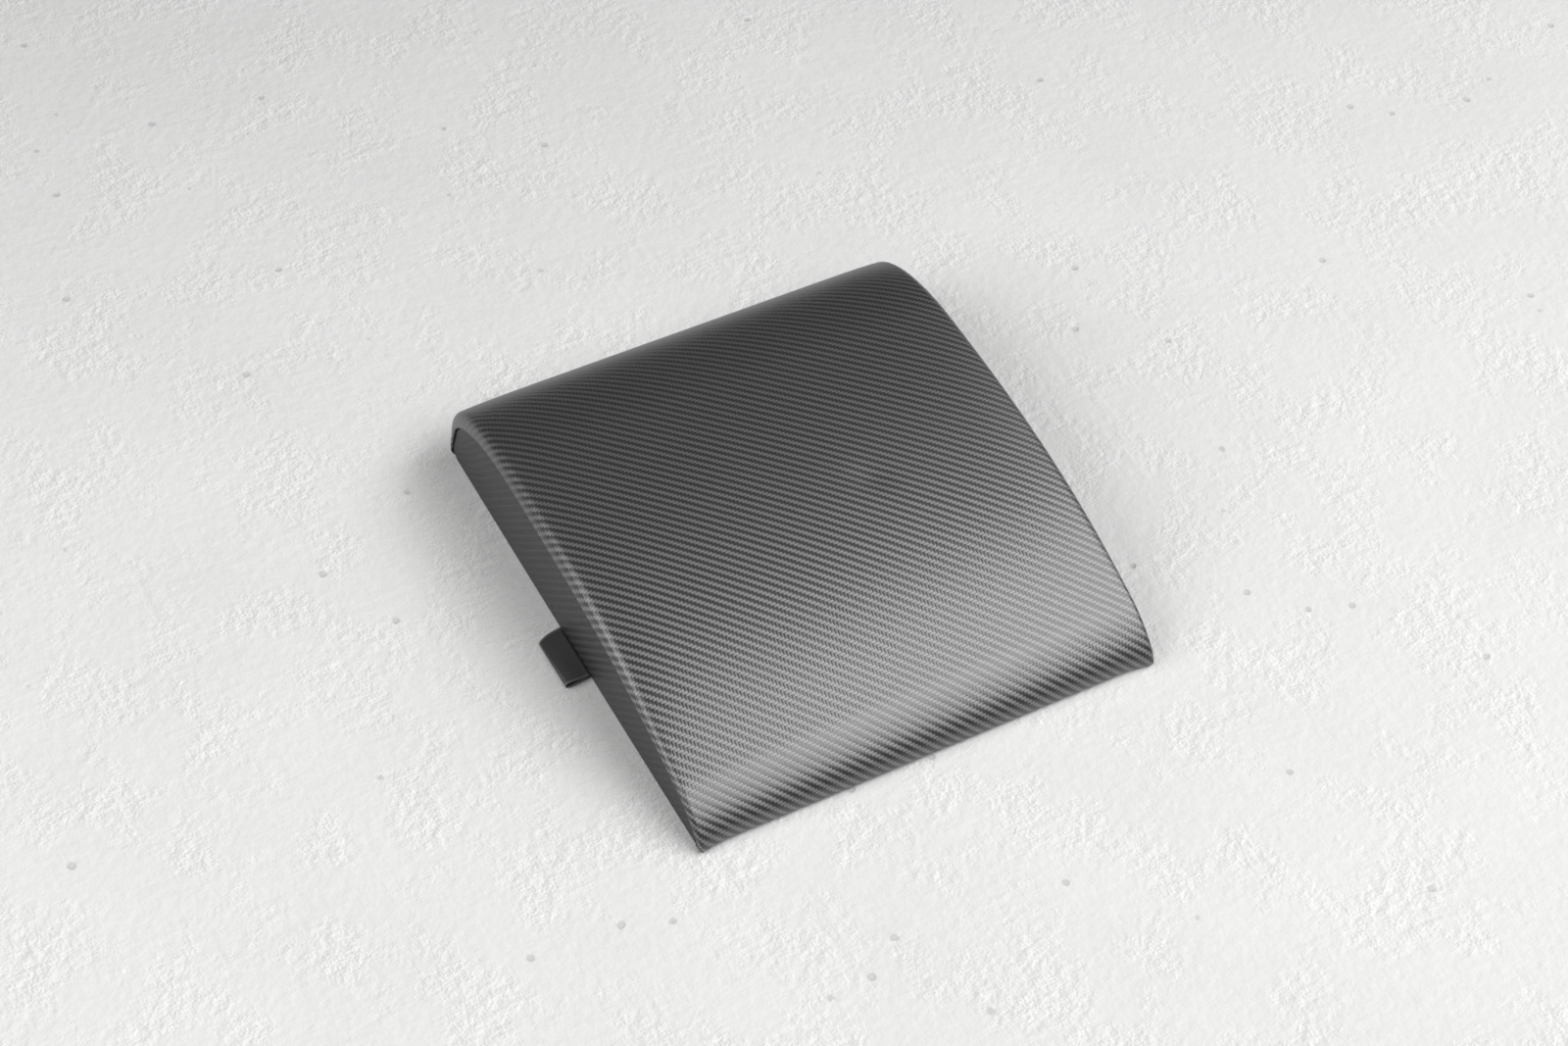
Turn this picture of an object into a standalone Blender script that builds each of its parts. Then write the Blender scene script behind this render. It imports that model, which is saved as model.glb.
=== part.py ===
"""Ab mat: a shaped foam wedge in a sewn vinyl cover, closed by a zip across its rear face.

X runs across the mat, Y from the thin front edge to the tall rear, and Z up from the floor.
The origin is the middle of the underside. Lengths are in metres.
"""

import math

import bmesh
import bpy
import numpy as np
from mathutils import Matrix, Vector

# Sewn cover, measured on its outer face along the side seams
WIDTH = 0.322
LENGTH = 0.366
CREST_HEIGHT = 0.0709
CREST_FROM_REAR = 0.0935
SHOULDER_FROM_FRONT = 0.030
SHOULDER_HEIGHT = 0.0329
FRONT_TURN_RADIUS = 0.005
REAR_TURN_RADIUS = 0.006
SHOULDER_SLOPE = math.radians(21)
NOSE_HANDLE_SHARES = (0.40, 0.36)
ARC_HANDLE_SHARES = (0.25, 0.52)

# How the filling swells the cover and pulls its front corners out
CROWN = 0.0085
CROWN_START = 0.022
CROWN_FLATNESS = 14
SIDE_BOW = 0.0004
SIDE_DOME = 0.0012
SIDE_DOME_REACH = 0.020
CORNER_PULL = 0.0040
CORNER_PULL_REACH = 0.022

# Sheet goods and the gaps between layers
SHEET_THICKNESS = 0.0010
LAYER_GAP = 0.0004
FRONT_SEAM_GAP = 0.0008
FRONT_SEAM_DEGREES = 225
SEAM_TURN_RADIUS = 0.0020
SEAM_ALLOWANCE = 0.0070
SEAM_ROLL = math.radians(45)

# Zip closing across the rear face
OPENING_CLEARANCE = 0.0004
LOWER_HEM_HEIGHT = 0.0010
UPPER_HEM_HEIGHT = 0.0046
TAPE_THICKNESS = 0.0006
TAPE_END_GAP = 0.0020
BARE_TAPE_LENGTH = 0.0240
TOOTH_PITCH = 0.0036
TOOTH_THICKNESS = 0.0024
TOOTH_NECK_WIDTH = 0.0010
TOOTH_HEAD_WIDTH = 0.0019
TOOTH_HEAD_REACH = 0.0013
TOOTH_NECK_END = 0.0003
TOOTH_CHAMFER = 0.0004
SPINE_INNER = 0.0016
TOOTH_EMBED = 0.0002
TOOTH_INSET = 0.0001
SPINE_OUTER = 0.0030
TAPE_EDGE_SEAT = 0.0008
STOP_LENGTH = 0.0024
STOP_GAP = 0.0005
END_TAB_GAP = 0.0056

# Zip slider and its pull
SLIDER_LENGTH = 0.0120
SLIDER_NOSE_WIDTH = 0.0112
SLIDER_TAIL_WIDTH = 0.0092
SLIDER_CORNER_RADIUS = 0.0016
WING_THICKNESS = 0.0010
FLANGE_GAP = 0.0003
BAIL_WIDTH = 0.0020
BAIL_WALL = 0.0011
BAIL_OPENING_LENGTH = 0.0038
BAIL_OPENING_HEIGHT = 0.0026
BAIL_EMBED = 0.0004
BAIL_BEND = 0.0008
PULL_LENGTH = 0.0300
PULL_WIDTH = 0.0080
PULL_NECK_WIDTH = 0.0062
PULL_THICKNESS = 0.0014
PULL_EDGE_RADIUS = 0.0004
PULL_WINDOW_LENGTH = 0.0036
PULL_WINDOW_GAP = 0.0004
PULL_HOLE_WIDTH = 0.0036
PULL_HOLE_LENGTH = 0.0120
PULL_HOLE_FROM_END = 0.0028

# Foam core
FOAM_EDGE_RADIUS = 0.0020
REBATE_EDGE_GAP = 0.0005

# Folded ribbon loop on the left side
LOOP_WIDTH = 0.0440
LOOP_FROM_FRONT = 0.1510
LOOP_REACH = 0.0185
LOOP_SKEW = 0.0030
LOOP_THICKNESS = 0.0006
LOOP_ROOT_GAP = 0.0006
LOOP_ROOT_HEIGHT = 0.0028
LOOP_ROOT_SPREAD = 0.0010
LOOP_BELLY_SPREAD = 0.0040
LOOP_SAG = 0.0002

# Vertices nearer than this are one, and faces flatter than this are one
MERGE_DISTANCE = 0.000002
FLAT_ANGLE = math.radians(0.5)

# Creases sharper than these are shaded as edges, and turned as square corners
CREASE_ANGLE = math.radians(40)
SQUARE_ANGLE = math.radians(60)

# Shares of the half width at which the wide sheets carry a row of points
ACROSS_SHARES = (0.91, 0.84, 0.68, 0.40, 0.0)

# Steps along each stretch
TURN_STEPS = 3
LOWER_TAPE_TURN_STEPS = 2
NOSE_STEPS = 5
ARC_STEPS = 8
REAR_STEPS = 7
FLOOR_STEPS = 6
ROLL_STEPS = 2
CORNER_STEPS = 4

# Heights and lengths on the side panel and the foam's side that get points of their own
SIDE_LEVEL_SHARES = (0.2, 0.45, 0.7)
SIDE_CUT_SHARES = (0.12, 0.25, 0.4, 0.55, 0.7, 0.85, 0.95)

# Shares of the ribbon's reach at which it carries points, before its fold
RIBBON_SHARES = (0.0, 0.3, 0.65, 1.0)

HALF_WIDTH = WIDTH / 2
HALF_LENGTH = LENGTH / 2
SEAM_ROLL_START = HALF_WIDTH - SEAM_TURN_RADIUS
ALLOWANCE_END = SEAM_ROLL_START - SEAM_ALLOWANCE
ALLOWANCE_MIDDLE = SEAM_ROLL_START - SEAM_ALLOWANCE / 2
CREST_Y = HALF_LENGTH - CREST_FROM_REAR
ZIP_OPENING = SLIDER_NOSE_WIDTH + 2 * OPENING_CLEARANCE
ZIP_HEIGHT = REAR_TURN_RADIUS + LOWER_HEM_HEIGHT + ZIP_OPENING / 2
OPENING_TOP = ZIP_HEIGHT + ZIP_OPENING / 2
OPENING_BOTTOM = ZIP_HEIGHT - ZIP_OPENING / 2
REAR_FACE_HEIGHT = OPENING_TOP + UPPER_HEM_HEIGHT
UNDER_SHEET = SHEET_THICKNESS + LAYER_GAP
UNDER_ALLOWANCE = 2 * UNDER_SHEET
SEAM_OUTER_RADIUS = UNDER_SHEET + SEAM_TURN_RADIUS
SIDE_INNER_FACE = HALF_WIDTH - UNDER_SHEET
UNDER_TAPE = UNDER_SHEET + TAPE_THICKNESS + LAYER_GAP
TAPE_MIDDLE = UNDER_SHEET + TAPE_THICKNESS / 2
TAPE_EDGE = SPINE_OUTER - TAPE_EDGE_SEAT
TAPE_LENGTH = 2 * (ALLOWANCE_END - TAPE_END_GAP)
TOOTH_COUNT = round((TAPE_LENGTH - 2 * BARE_TAPE_LENGTH) / TOOTH_PITCH)
CHAIN_LENGTH = TOOTH_PITCH * TOOTH_COUNT
END_TAB_START = CHAIN_LENGTH / 2 + STOP_GAP + STOP_LENGTH + END_TAB_GAP
CHAIN_FRONT_DEPTH = TAPE_MIDDLE - TOOTH_THICKNESS / 2
CHAIN_BACK_DEPTH = TAPE_MIDDLE + TOOTH_THICKNESS / 2
OUTER_WING_DEPTH = CHAIN_FRONT_DEPTH - LAYER_GAP
INNER_WING_DEPTH = CHAIN_BACK_DEPTH + LAYER_GAP
SLIDER_REST_X = (CHAIN_LENGTH - SLIDER_LENGTH) / 2
PULL_AXIS_DEPTH = OUTER_WING_DEPTH - WING_THICKNESS - BAIL_OPENING_HEIGHT / 2


def smooth(share):
    """Ease a share from 0 to 1 with level ends."""
    share = min(max(share, 0.0), 1.0)
    return share * share * (3 - 2 * share)


def near(share):
    """Fade from 1 at the place itself to 0 at its reach."""
    return max(0.0, 1.0 - abs(share)) ** 2


def bezier(start, start_handle, end_handle, end, steps):
    """Points and outward normals along a cubic, without its first point."""
    p0, p1, p2, p3 = (np.array(p) for p in (start, start_handle, end_handle, end))
    stations = []
    for step in range(1, steps + 1):
        t = step / steps
        u = 1 - t
        point = u**3 * p0 + 3 * u * u * t * p1 + 3 * u * t * t * p2 + t**3 * p3
        along = 3 * u * u * (p1 - p0) + 6 * u * t * (p2 - p1) + 3 * t * t * (p3 - p2)
        along = along / np.linalg.norm(along)
        stations.append((point[0], point[1], -along[1], along[0]))
    return stations


def turn(centre_y, centre_z, radius, start, end, steps):
    """Stations round an arc, its angles measured from +Y towards +Z."""
    stations = []
    for step in range(steps + 1):
        angle = start + (end - start) * step / steps
        out_y, out_z = math.cos(angle), math.sin(angle)
        stations.append((centre_y + radius * out_y, centre_z + radius * out_z, out_y, out_z))
    return stations


def front_turn(start, end):
    """The small turn under the front lip, between two angles in degrees from +Y towards +Z."""
    return turn(
        FRONT_TURN_RADIUS - HALF_LENGTH,
        FRONT_TURN_RADIUS,
        FRONT_TURN_RADIUS,
        math.radians(start),
        math.radians(end),
        TURN_STEPS,
    )


def top_stations():
    """The cover's outline from the front seam over the crest to the top of the rear face."""
    front = front_turn(FRONT_SEAM_DEGREES, 180)
    lip = (-HALF_LENGTH, FRONT_TURN_RADIUS)
    shoulder = (SHOULDER_FROM_FRONT - HALF_LENGTH, SHOULDER_HEIGHT)
    crest = (CREST_Y, CREST_HEIGHT)
    heading = (math.cos(SHOULDER_SLOPE), math.sin(SHOULDER_SLOPE))
    rise = SHOULDER_HEIGHT - FRONT_TURN_RADIUS
    lip_handle = (lip[0], lip[1] + NOSE_HANDLE_SHARES[0] * rise)
    pull_back = NOSE_HANDLE_SHARES[1] * SHOULDER_FROM_FRONT
    nose_handle = (shoulder[0] - pull_back * heading[0], shoulder[1] - pull_back * heading[1])
    run = CREST_Y - shoulder[0]
    push_on = ARC_HANDLE_SHARES[0] * run
    arc_handle = (shoulder[0] + push_on * heading[0], shoulder[1] + push_on * heading[1])
    crest_handle = (crest[0] - ARC_HANDLE_SHARES[1] * run, crest[1])
    nose = bezier(lip, lip_handle, nose_handle, shoulder, NOSE_STEPS)
    arc = bezier(shoulder, arc_handle, crest_handle, crest, ARC_STEPS)
    angles = [math.radians(90) * (1 - step / REAR_STEPS) for step in range(1, REAR_STEPS + 1)]
    rear = [rear_station(angle) for angle in angles]
    return front + nose + arc + rear + [rear_face_station(OPENING_TOP)]


def rear_station(angle):
    """A station on the quarter ellipse from the crest down to the rear face."""
    rise = CREST_HEIGHT - REAR_FACE_HEIGHT
    out = Vector((math.cos(angle) / CREST_FROM_REAR, math.sin(angle) / rise)).normalized()
    y = CREST_Y + CREST_FROM_REAR * math.cos(angle)
    return (y, REAR_FACE_HEIGHT + rise * math.sin(angle), out.x, out.y)


def rear_face_station(height):
    """The station at a height on the upright rear face."""
    return (HALF_LENGTH, height, 1.0, 0.0)


def rear_turn():
    """The turn from the rear face to the underside."""
    return turn(
        HALF_LENGTH - REAR_TURN_RADIUS,
        REAR_TURN_RADIUS,
        REAR_TURN_RADIUS,
        0.0,
        math.radians(-90),
        TURN_STEPS,
    )


def floor_stations():
    """The underside from the rear turn to the front turn, its ends left out."""
    start = HALF_LENGTH - REAR_TURN_RADIUS
    end = FRONT_TURN_RADIUS - HALF_LENGTH
    shares = [step / FLOOR_STEPS for step in range(1, FLOOR_STEPS)]
    return [(start + (end - start) * share, 0.0, 0.0, -1.0) for share in shares]


def base_stations():
    """The outline from the lower edge of the zip opening round the underside to the front seam."""
    opening = [rear_face_station(OPENING_BOTTOM)]
    return opening + rear_turn() + floor_stations() + front_turn(270, FRONT_SEAM_DEGREES)


def loop_stations():
    """The whole outline once round, in the same sense, with no point twice."""
    return top_stations() + base_stations()[:-1]


TOP_LINE = np.array([s[:2] for s in top_stations() if s[0] < HALF_LENGTH])


def stuffed(x, y, z):
    """Where a point of the flat-sided cover lies once the foam fills it."""
    across = min(abs(x) / SEAM_ROLL_START, 1.0)
    along = y / HALF_LENGTH
    rise = smooth((z - CROWN_START) / (CREST_HEIGHT - CROWN_START))
    lift = CROWN * (1 - across**CROWN_FLATNESS) * rise
    bow = SIDE_BOW * across * max(0.0, 1 - along * along)
    ceiling = np.interp(y, TOP_LINE[:, 0], TOP_LINE[:, 1])
    level = min(max(z / ceiling, 0.0), 1.0)
    edge = smooth((abs(x) - HALF_WIDTH + SIDE_DOME_REACH) / SIDE_DOME_REACH)
    dome = SIDE_DOME * 4 * level * (1 - level) * edge * max(0.0, 1 - along * along)
    pull = near((HALF_WIDTH - abs(x)) / CORNER_PULL_REACH)
    pull *= near((y + HALF_LENGTH) / CORNER_PULL_REACH)
    pull *= near(z / CORNER_PULL_REACH)
    side = math.copysign(1.0, x)
    return Vector((x + side * (bow + dome), y - CORNER_PULL * pull, z + lift))


def inward(station, depth):
    """The (y, z) of a station moved a depth into the cover."""
    y, z, out_y, out_z = station
    return y - depth * out_y, z - depth * out_z


def make_material(name, colour, roughness, metallic=0.0):
    """A Principled material with one colour and finish."""
    material = bpy.data.materials.new(name)
    material.use_nodes = True
    shader = material.node_tree.nodes["Principled BSDF"]
    shader.inputs["Base Color"].default_value = (*colour, 1.0)
    shader.inputs["Roughness"].default_value = roughness
    shader.inputs["Metallic"].default_value = metallic
    material.diffuse_color = (*colour, 1.0)
    return material


def add_object(name, mesh, material, collection):
    """Put a mesh in the scene under a name and a material."""
    item = bpy.data.objects.new(name, mesh)
    mesh.materials.clear()
    mesh.materials.append(material)
    collection.objects.link(item)
    return item


def mesh_from(bm, name):
    """Turn a bmesh into mesh data and free it."""
    mesh = bpy.data.meshes.new(name)
    bm.to_mesh(mesh)
    bm.free()
    return mesh


def shade(item):
    """Smooth shading with sharp edges kept."""
    item.data.shade_smooth()
    item.data.set_sharp_from_angle(angle=CREASE_ANGLE)


def thicken(item, thickness):
    """Give a surface its thickness, all of it inward."""
    wall = item.modifiers.new("thickness", "SOLIDIFY")
    wall.thickness = thickness
    wall.offset = -1.0
    wall.use_even_offset = True
    shade(item)


def sheet(name, stations, columns, thickness, material, collection):
    """A sheet that follows the outline, with its outer face on the columns' depths."""
    bm = bmesh.new()
    last_row, last_column = len(stations) - 1, len(columns) - 1
    bmesh.ops.create_grid(bm, x_segments=last_column, y_segments=last_row, size=1.0)
    for vert in bm.verts:
        x, depth = columns[round((vert.co.x + 1) / 2 * last_column)]
        y, z = inward(stations[round((vert.co.y + 1) / 2 * last_row)], depth)
        vert.co = stuffed(x, y, z)
    thicken(add_object(name, mesh_from(bm, name), material, collection), thickness)


def rolled_edge():
    """The (x, depth) columns of a sheet's right edge, rolled over the side panel's edge."""
    columns = []
    for step in range(ROLL_STEPS + 1):
        angle = math.radians(90) - SEAM_ROLL * step / ROLL_STEPS
        x = SEAM_ROLL_START + SEAM_OUTER_RADIUS * math.cos(angle)
        columns.append((x, SEAM_OUTER_RADIUS * (1 - math.sin(angle))))
    return columns


def mirrored(half):
    """Columns for the whole width from those of the right half, which start at the middle."""
    left = [(-x, depth) for x, depth in reversed(half) if x > 0]
    return left + list(half)


def wide_columns():
    """Columns across the whole mat, with both edges rolled."""
    inner = [(HALF_WIDTH * share, 0.0) for share in reversed(ACROSS_SHARES)]
    over_allowance = [(ALLOWANCE_END, 0.0), (ALLOWANCE_MIDDLE, 0.0)]
    return mirrored(inner + over_allowance + rolled_edge())


def trimmed(stations, at_start, at_end):
    """Stations with the first and last drawn back along the outline."""
    points = [np.array(s) for s in stations]
    first = points[1] - points[0]
    last = points[-2] - points[-1]
    points[0] = points[0] + first * at_start / np.linalg.norm(first[:2])
    points[-1] = points[-1] + last * at_end / np.linalg.norm(last[:2])
    return [tuple(p) for p in points]


def bisected(bm, faces, place, normal):
    """The faces that are left when a plane has cut some faces in two."""
    edges = list({edge for face in faces for edge in face.edges})
    verts = list({vert for face in faces for vert in face.verts})
    cut = bmesh.ops.bisect_plane(bm, geom=faces + edges + verts, plane_co=place, plane_no=normal)
    return [g for g in cut["geom"] if isinstance(g, bmesh.types.BMFace)]


def cut_rows(bm, faces, levels, rows):
    """Cut flat faces along heights and along lengths, so that they can bend."""
    for height in levels:
        faces = bisected(bm, faces, (0, 0, height), (0, 0, 1))
    for y in rows:
        faces = bisected(bm, faces, (0, y, 0), (0, 1, 0))


def side_levels():
    """Heights at which a side face gets points."""
    return [CREST_HEIGHT * share for share in SIDE_LEVEL_SHARES]


def side_rows():
    """Lengths at which a side face gets points."""
    return [LENGTH * share - HALF_LENGTH for share in SIDE_CUT_SHARES]


def side_panel(name, side, material, collection):
    """A side panel with its turned edge and the seam allowance that lies inside the cover."""
    bm = bmesh.new()
    ring = [bm.verts.new((side * HALF_WIDTH, *inward(s, UNDER_SHEET))) for s in loop_stations()]
    cut_rows(bm, [bm.faces.new(ring)], side_levels(), side_rows())
    rim = [edge for edge in bm.edges if edge.is_boundary]
    for x_from, x_to in ((HALF_WIDTH, ALLOWANCE_MIDDLE), (ALLOWANCE_MIDDLE, ALLOWANCE_END)):
        grown = bmesh.ops.extrude_edge_only(bm, edges=rim)["geom"]
        moved = [g for g in grown if isinstance(g, bmesh.types.BMVert)]
        bmesh.ops.translate(bm, verts=moved, vec=(side * (x_to - x_from), 0, 0))
        rim = [g for g in grown if isinstance(g, bmesh.types.BMEdge) and g.is_boundary]
    corner = [e for e in bm.edges if len(e.link_faces) == 2 and e.calc_face_angle() > SQUARE_ANGLE]
    bmesh.ops.bevel(
        bm,
        geom=corner,
        offset=SEAM_TURN_RADIUS,
        offset_type="OFFSET",
        segments=ROLL_STEPS,
        profile=0.5,
        affect="EDGES",
    )
    bmesh.ops.recalc_face_normals(bm, faces=bm.faces)
    outward = max(bm.faces, key=lambda f: f.calc_center_median().x * side)
    if outward.normal.x * side < 0:
        bmesh.ops.reverse_faces(bm, faces=bm.faces)
    for vert in bm.verts:
        vert.co = stuffed(*vert.co)
    thicken(add_object(name, mesh_from(bm, name), material, collection), SHEET_THICKNESS)


def foam_rings():
    """Rings of points of the foam, one for each column across the mat."""
    corner = FOAM_EDGE_RADIUS
    edge = SIDE_INNER_FACE - LAYER_GAP
    step_x = ALLOWANCE_END - LAYER_GAP
    half = [(HALF_WIDTH * share, UNDER_SHEET) for share in reversed(ACROSS_SHARES)]
    half.append((step_x - UNDER_SHEET, UNDER_SHEET))
    half.append((step_x, UNDER_ALLOWANCE))
    half.append((ALLOWANCE_MIDDLE, UNDER_ALLOWANCE))
    for step in range(ROLL_STEPS + 1):
        angle = math.radians(90) * (1 - step / ROLL_STEPS)
        x = edge - corner + corner * math.cos(angle)
        half.append((x, UNDER_ALLOWANCE + corner * (1 - math.sin(angle))))
    rings = []
    for x, depth in mirrored(half):
        ring = []
        for station in loop_stations():
            behind_zip = station[0] > CREST_Y and 0.0 < station[1] <= REAR_FACE_HEIGHT
            here = max(depth, UNDER_TAPE) if behind_zip else depth
            ring.append((x, *inward(station, here)))
        rings.append(ring)
    return rings


def foam_core(material, collection, cutters):
    """The wedge that fills the cover, with a rebate where the zip slider runs."""
    bm = bmesh.new()
    loops = [[bm.verts.new(point) for point in ring] for ring in foam_rings()]
    count = len(loops[0])
    for left, right in zip(loops, loops[1:]):
        for i in range(count):
            j = (i + 1) % count
            bm.faces.new((left[i], left[j], right[j], right[i]))
    ends = [bm.faces.new(loops[0]), bm.faces.new(loops[-1])]
    for end in ends:
        cut_rows(bm, [end], side_levels(), side_rows())
    bmesh.ops.recalc_face_normals(bm, faces=bm.faces)
    for vert in bm.verts:
        vert.co = stuffed(*vert.co)
    item = add_object("foam_core", mesh_from(bm, "foam_core"), material, collection)
    depth = INNER_WING_DEPTH + WING_THICKNESS + REBATE_EDGE_GAP
    height = SLIDER_NOSE_WIDTH + 2 * REBATE_EDGE_GAP
    length = CHAIN_LENGTH + 2 * (STOP_GAP + STOP_LENGTH + REBATE_EDGE_GAP)
    centre = (0, HALF_LENGTH, ZIP_HEIGHT)
    cut_with(item, box_object("zip_rebate_cutter", (length, 2 * depth, height), centre, cutters))
    shade(item)
    return item


def box_mesh(name, size, centre):
    """The mesh of a box, from its size and centre."""
    bm = bmesh.new()
    bmesh.ops.create_cube(bm, size=1.0, matrix=Matrix.Diagonal((*size, 1.0)))
    bmesh.ops.translate(bm, verts=bm.verts, vec=centre)
    return mesh_from(bm, name)


def guide_object(name, mesh, collection):
    """An object that only cuts or joins another, and shows as wires."""
    item = bpy.data.objects.new(name, mesh)
    collection.objects.link(item)
    item.hide_render = True
    item.display_type = "WIRE"
    return item


def box_object(name, size, centre, collection):
    """A box that cuts another object."""
    return guide_object(name, box_mesh(name, size, centre), collection)


def cut_with(item, cutter, operation="DIFFERENCE"):
    """Add an exact Boolean of one object with another."""
    step = item.modifiers.new(cutter.name, "BOOLEAN")
    step.object = cutter
    step.operation = operation
    step.solver = "EXACT"


def flat_solid(name, outlines, thickness, collection):
    """A mesh from closed 2D outlines, holes among them, spread evenly about its plane."""
    curve = bpy.data.curves.new(name, "CURVE")
    curve.dimensions = "2D"
    curve.fill_mode = "BOTH"
    curve.extrude = thickness / 2
    for outline in outlines:
        spline = curve.splines.new("POLY")
        spline.points.add(len(outline) - 1)
        for point, (u, v) in zip(spline.points, outline):
            point.co = (u, v, 0.0, 1.0)
        spline.use_cyclic_u = True
    source = bpy.data.objects.new(name, curve)
    collection.objects.link(source)
    bpy.context.view_layer.update()
    graph = bpy.context.evaluated_depsgraph_get()
    mesh = bpy.data.meshes.new_from_object(source.evaluated_get(graph))
    bpy.data.objects.remove(source)
    bpy.data.curves.remove(curve)
    bm = bmesh.new()
    bm.from_mesh(mesh)
    bmesh.ops.remove_doubles(bm, verts=bm.verts, dist=MERGE_DISTANCE)
    bmesh.ops.dissolve_limit(bm, angle_limit=FLAT_ANGLE, verts=bm.verts, edges=bm.edges)
    bmesh.ops.recalc_face_normals(bm, faces=bm.faces)
    bm.to_mesh(mesh)
    bm.free()
    return mesh


def face_the_rear(mesh, x, depth, z):
    """Stand a flat mesh up on the rear face: its U along X, its V up, its middle at a depth."""
    stood_up = Matrix.Rotation(math.radians(90), 4, "X")
    mesh.transform(Matrix.Translation((x, HALF_LENGTH - depth, z)) @ stood_up)


def rounded_box(half_u, half_v, radius, centre_u=0.0, tail_half_v=None):
    """A rounded rectangle, or one that narrows to its -U end."""
    tail = half_v if tail_half_v is None else tail_half_v
    corners = (
        (half_u, half_v, 0),
        (-half_u, tail, 90),
        (-half_u, -tail, 180),
        (half_u, -half_v, 270),
    )
    points = []
    for u, v, start in corners:
        middle_u = centre_u + u - math.copysign(radius, u)
        middle_v = v - math.copysign(radius, v)
        for step in range(CORNER_STEPS + 1):
            angle = math.radians(start + 90 * step / CORNER_STEPS)
            points.append((middle_u + radius * math.cos(angle), middle_v + radius * math.sin(angle)))
    return points


def tooth_outline(side):
    """One tooth, its root sunk in the spine, pointing down for side 1 and up for side -1."""
    neck, head = TOOTH_NECK_WIDTH / 2, TOOTH_HEAD_WIDTH / 2
    cut = TOOTH_CHAMFER
    points = (
        (-neck, SPINE_INNER + TOOTH_EMBED),
        (-neck, -TOOTH_NECK_END + cut),
        (-head, -TOOTH_NECK_END),
        (-head + cut, -TOOTH_HEAD_REACH),
        (head - cut, -TOOTH_HEAD_REACH),
        (head, -TOOTH_NECK_END),
        (neck, -TOOTH_NECK_END + cut),
        (neck, SPINE_INNER + TOOTH_EMBED),
    )
    return [(u, v * side) for u, v in points]


def tooth_row(label, side, material, collection, cutters):
    """One row of teeth on its spine, a quarter pitch to its own side of the other's middle."""
    spine_height = SPINE_OUTER - SPINE_INNER
    middle = ZIP_HEIGHT + side * (SPINE_INNER + spine_height / 2)
    size = (CHAIN_LENGTH, TOOTH_THICKNESS, spine_height)
    mesh = box_mesh("spine", size, (0, HALF_LENGTH - TAPE_MIDDLE, middle))
    row = add_object(f"zip_teeth_{label}", mesh, material, collection)
    thickness = TOOTH_THICKNESS - 2 * TOOTH_INSET
    tooth = flat_solid(f"tooth_{label}", [tooth_outline(side)], thickness, cutters)
    face_the_rear(tooth, (TOOTH_PITCH - CHAIN_LENGTH + side * TOOTH_PITCH / 2) / 2, TAPE_MIDDLE, ZIP_HEIGHT)
    teeth = guide_object(f"teeth_{label}", tooth, cutters)
    repeat = teeth.modifiers.new("pitch", "ARRAY")
    repeat.count = TOOTH_COUNT
    repeat.use_relative_offset = False
    repeat.use_constant_offset = True
    repeat.constant_offset_displace = (TOOTH_PITCH, 0, 0)
    cut_with(row, teeth, "UNION")
    return row


def tape_slot_cutter(name, side, cutters):
    """A long box that cuts the seat of a tape's edge."""
    seat = TAPE_EDGE - LAYER_GAP
    height = ZIP_OPENING / 2 - seat
    size = (TAPE_LENGTH, TAPE_THICKNESS + 2 * LAYER_GAP, height)
    centre = (0, HALF_LENGTH - TAPE_MIDDLE, ZIP_HEIGHT + side * (seat + height / 2))
    return box_object(name, size, centre, cutters)


def zip_chain(collection, cutters, tooth_material, metal):
    """Both rows of teeth, the two top stops and the bottom stop, each with its tape seats."""
    stop_x = (CHAIN_LENGTH + STOP_LENGTH) / 2 + STOP_GAP
    for label, side in (("upper", 1), ("lower", -1)):
        slot = tape_slot_cutter(f"tape_slot_{label}", side, cutters)
        cut_with(tooth_row(label, side, tooth_material, collection, cutters), slot)
        half_v = (SPINE_OUTER - LAYER_GAP / 2) / 2
        block = rounded_box(STOP_LENGTH / 2, half_v, TOOTH_CHAMFER)
        mesh = flat_solid(f"top_stop_{label}", [block], TOOTH_THICKNESS, collection)
        face_the_rear(mesh, stop_x, TAPE_MIDDLE, ZIP_HEIGHT + side * (LAYER_GAP / 2 + half_v))
        stop = add_object(f"zip_top_stop_{label}", mesh, metal, collection)
        cut_with(stop, slot)
    block = rounded_box(STOP_LENGTH / 2, SPINE_OUTER, TOOTH_CHAMFER)
    mesh = flat_solid("bottom_stop", [block], TOOTH_THICKNESS, collection)
    face_the_rear(mesh, -stop_x, TAPE_MIDDLE, ZIP_HEIGHT)
    stop = add_object("zip_bottom_stop", mesh, metal, collection)
    for label in ("upper", "lower"):
        cut_with(stop, cutters.objects[f"tape_slot_{label}"])


def zip_tapes(material, collection):
    """The two woven tapes behind the panels' hems."""
    columns = mirrored([(0.0, UNDER_SHEET), (TAPE_LENGTH / 4, UNDER_SHEET), (TAPE_LENGTH / 2, UNDER_SHEET)])
    upper_edge = ZIP_HEIGHT + TAPE_EDGE
    lower_edge = ZIP_HEIGHT - TAPE_EDGE
    upper = [rear_face_station(z) for z in (REAR_FACE_HEIGHT, OPENING_TOP, upper_edge)]
    sheet("zip_tape_upper", upper, columns, TAPE_THICKNESS, material, collection)
    lower = [rear_face_station(z) for z in (lower_edge, OPENING_BOTTOM)]
    lower += rear_turn()[:LOWER_TAPE_TURN_STEPS]
    sheet("zip_tape_lower", lower, columns, TAPE_THICKNESS, material, collection)


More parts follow.
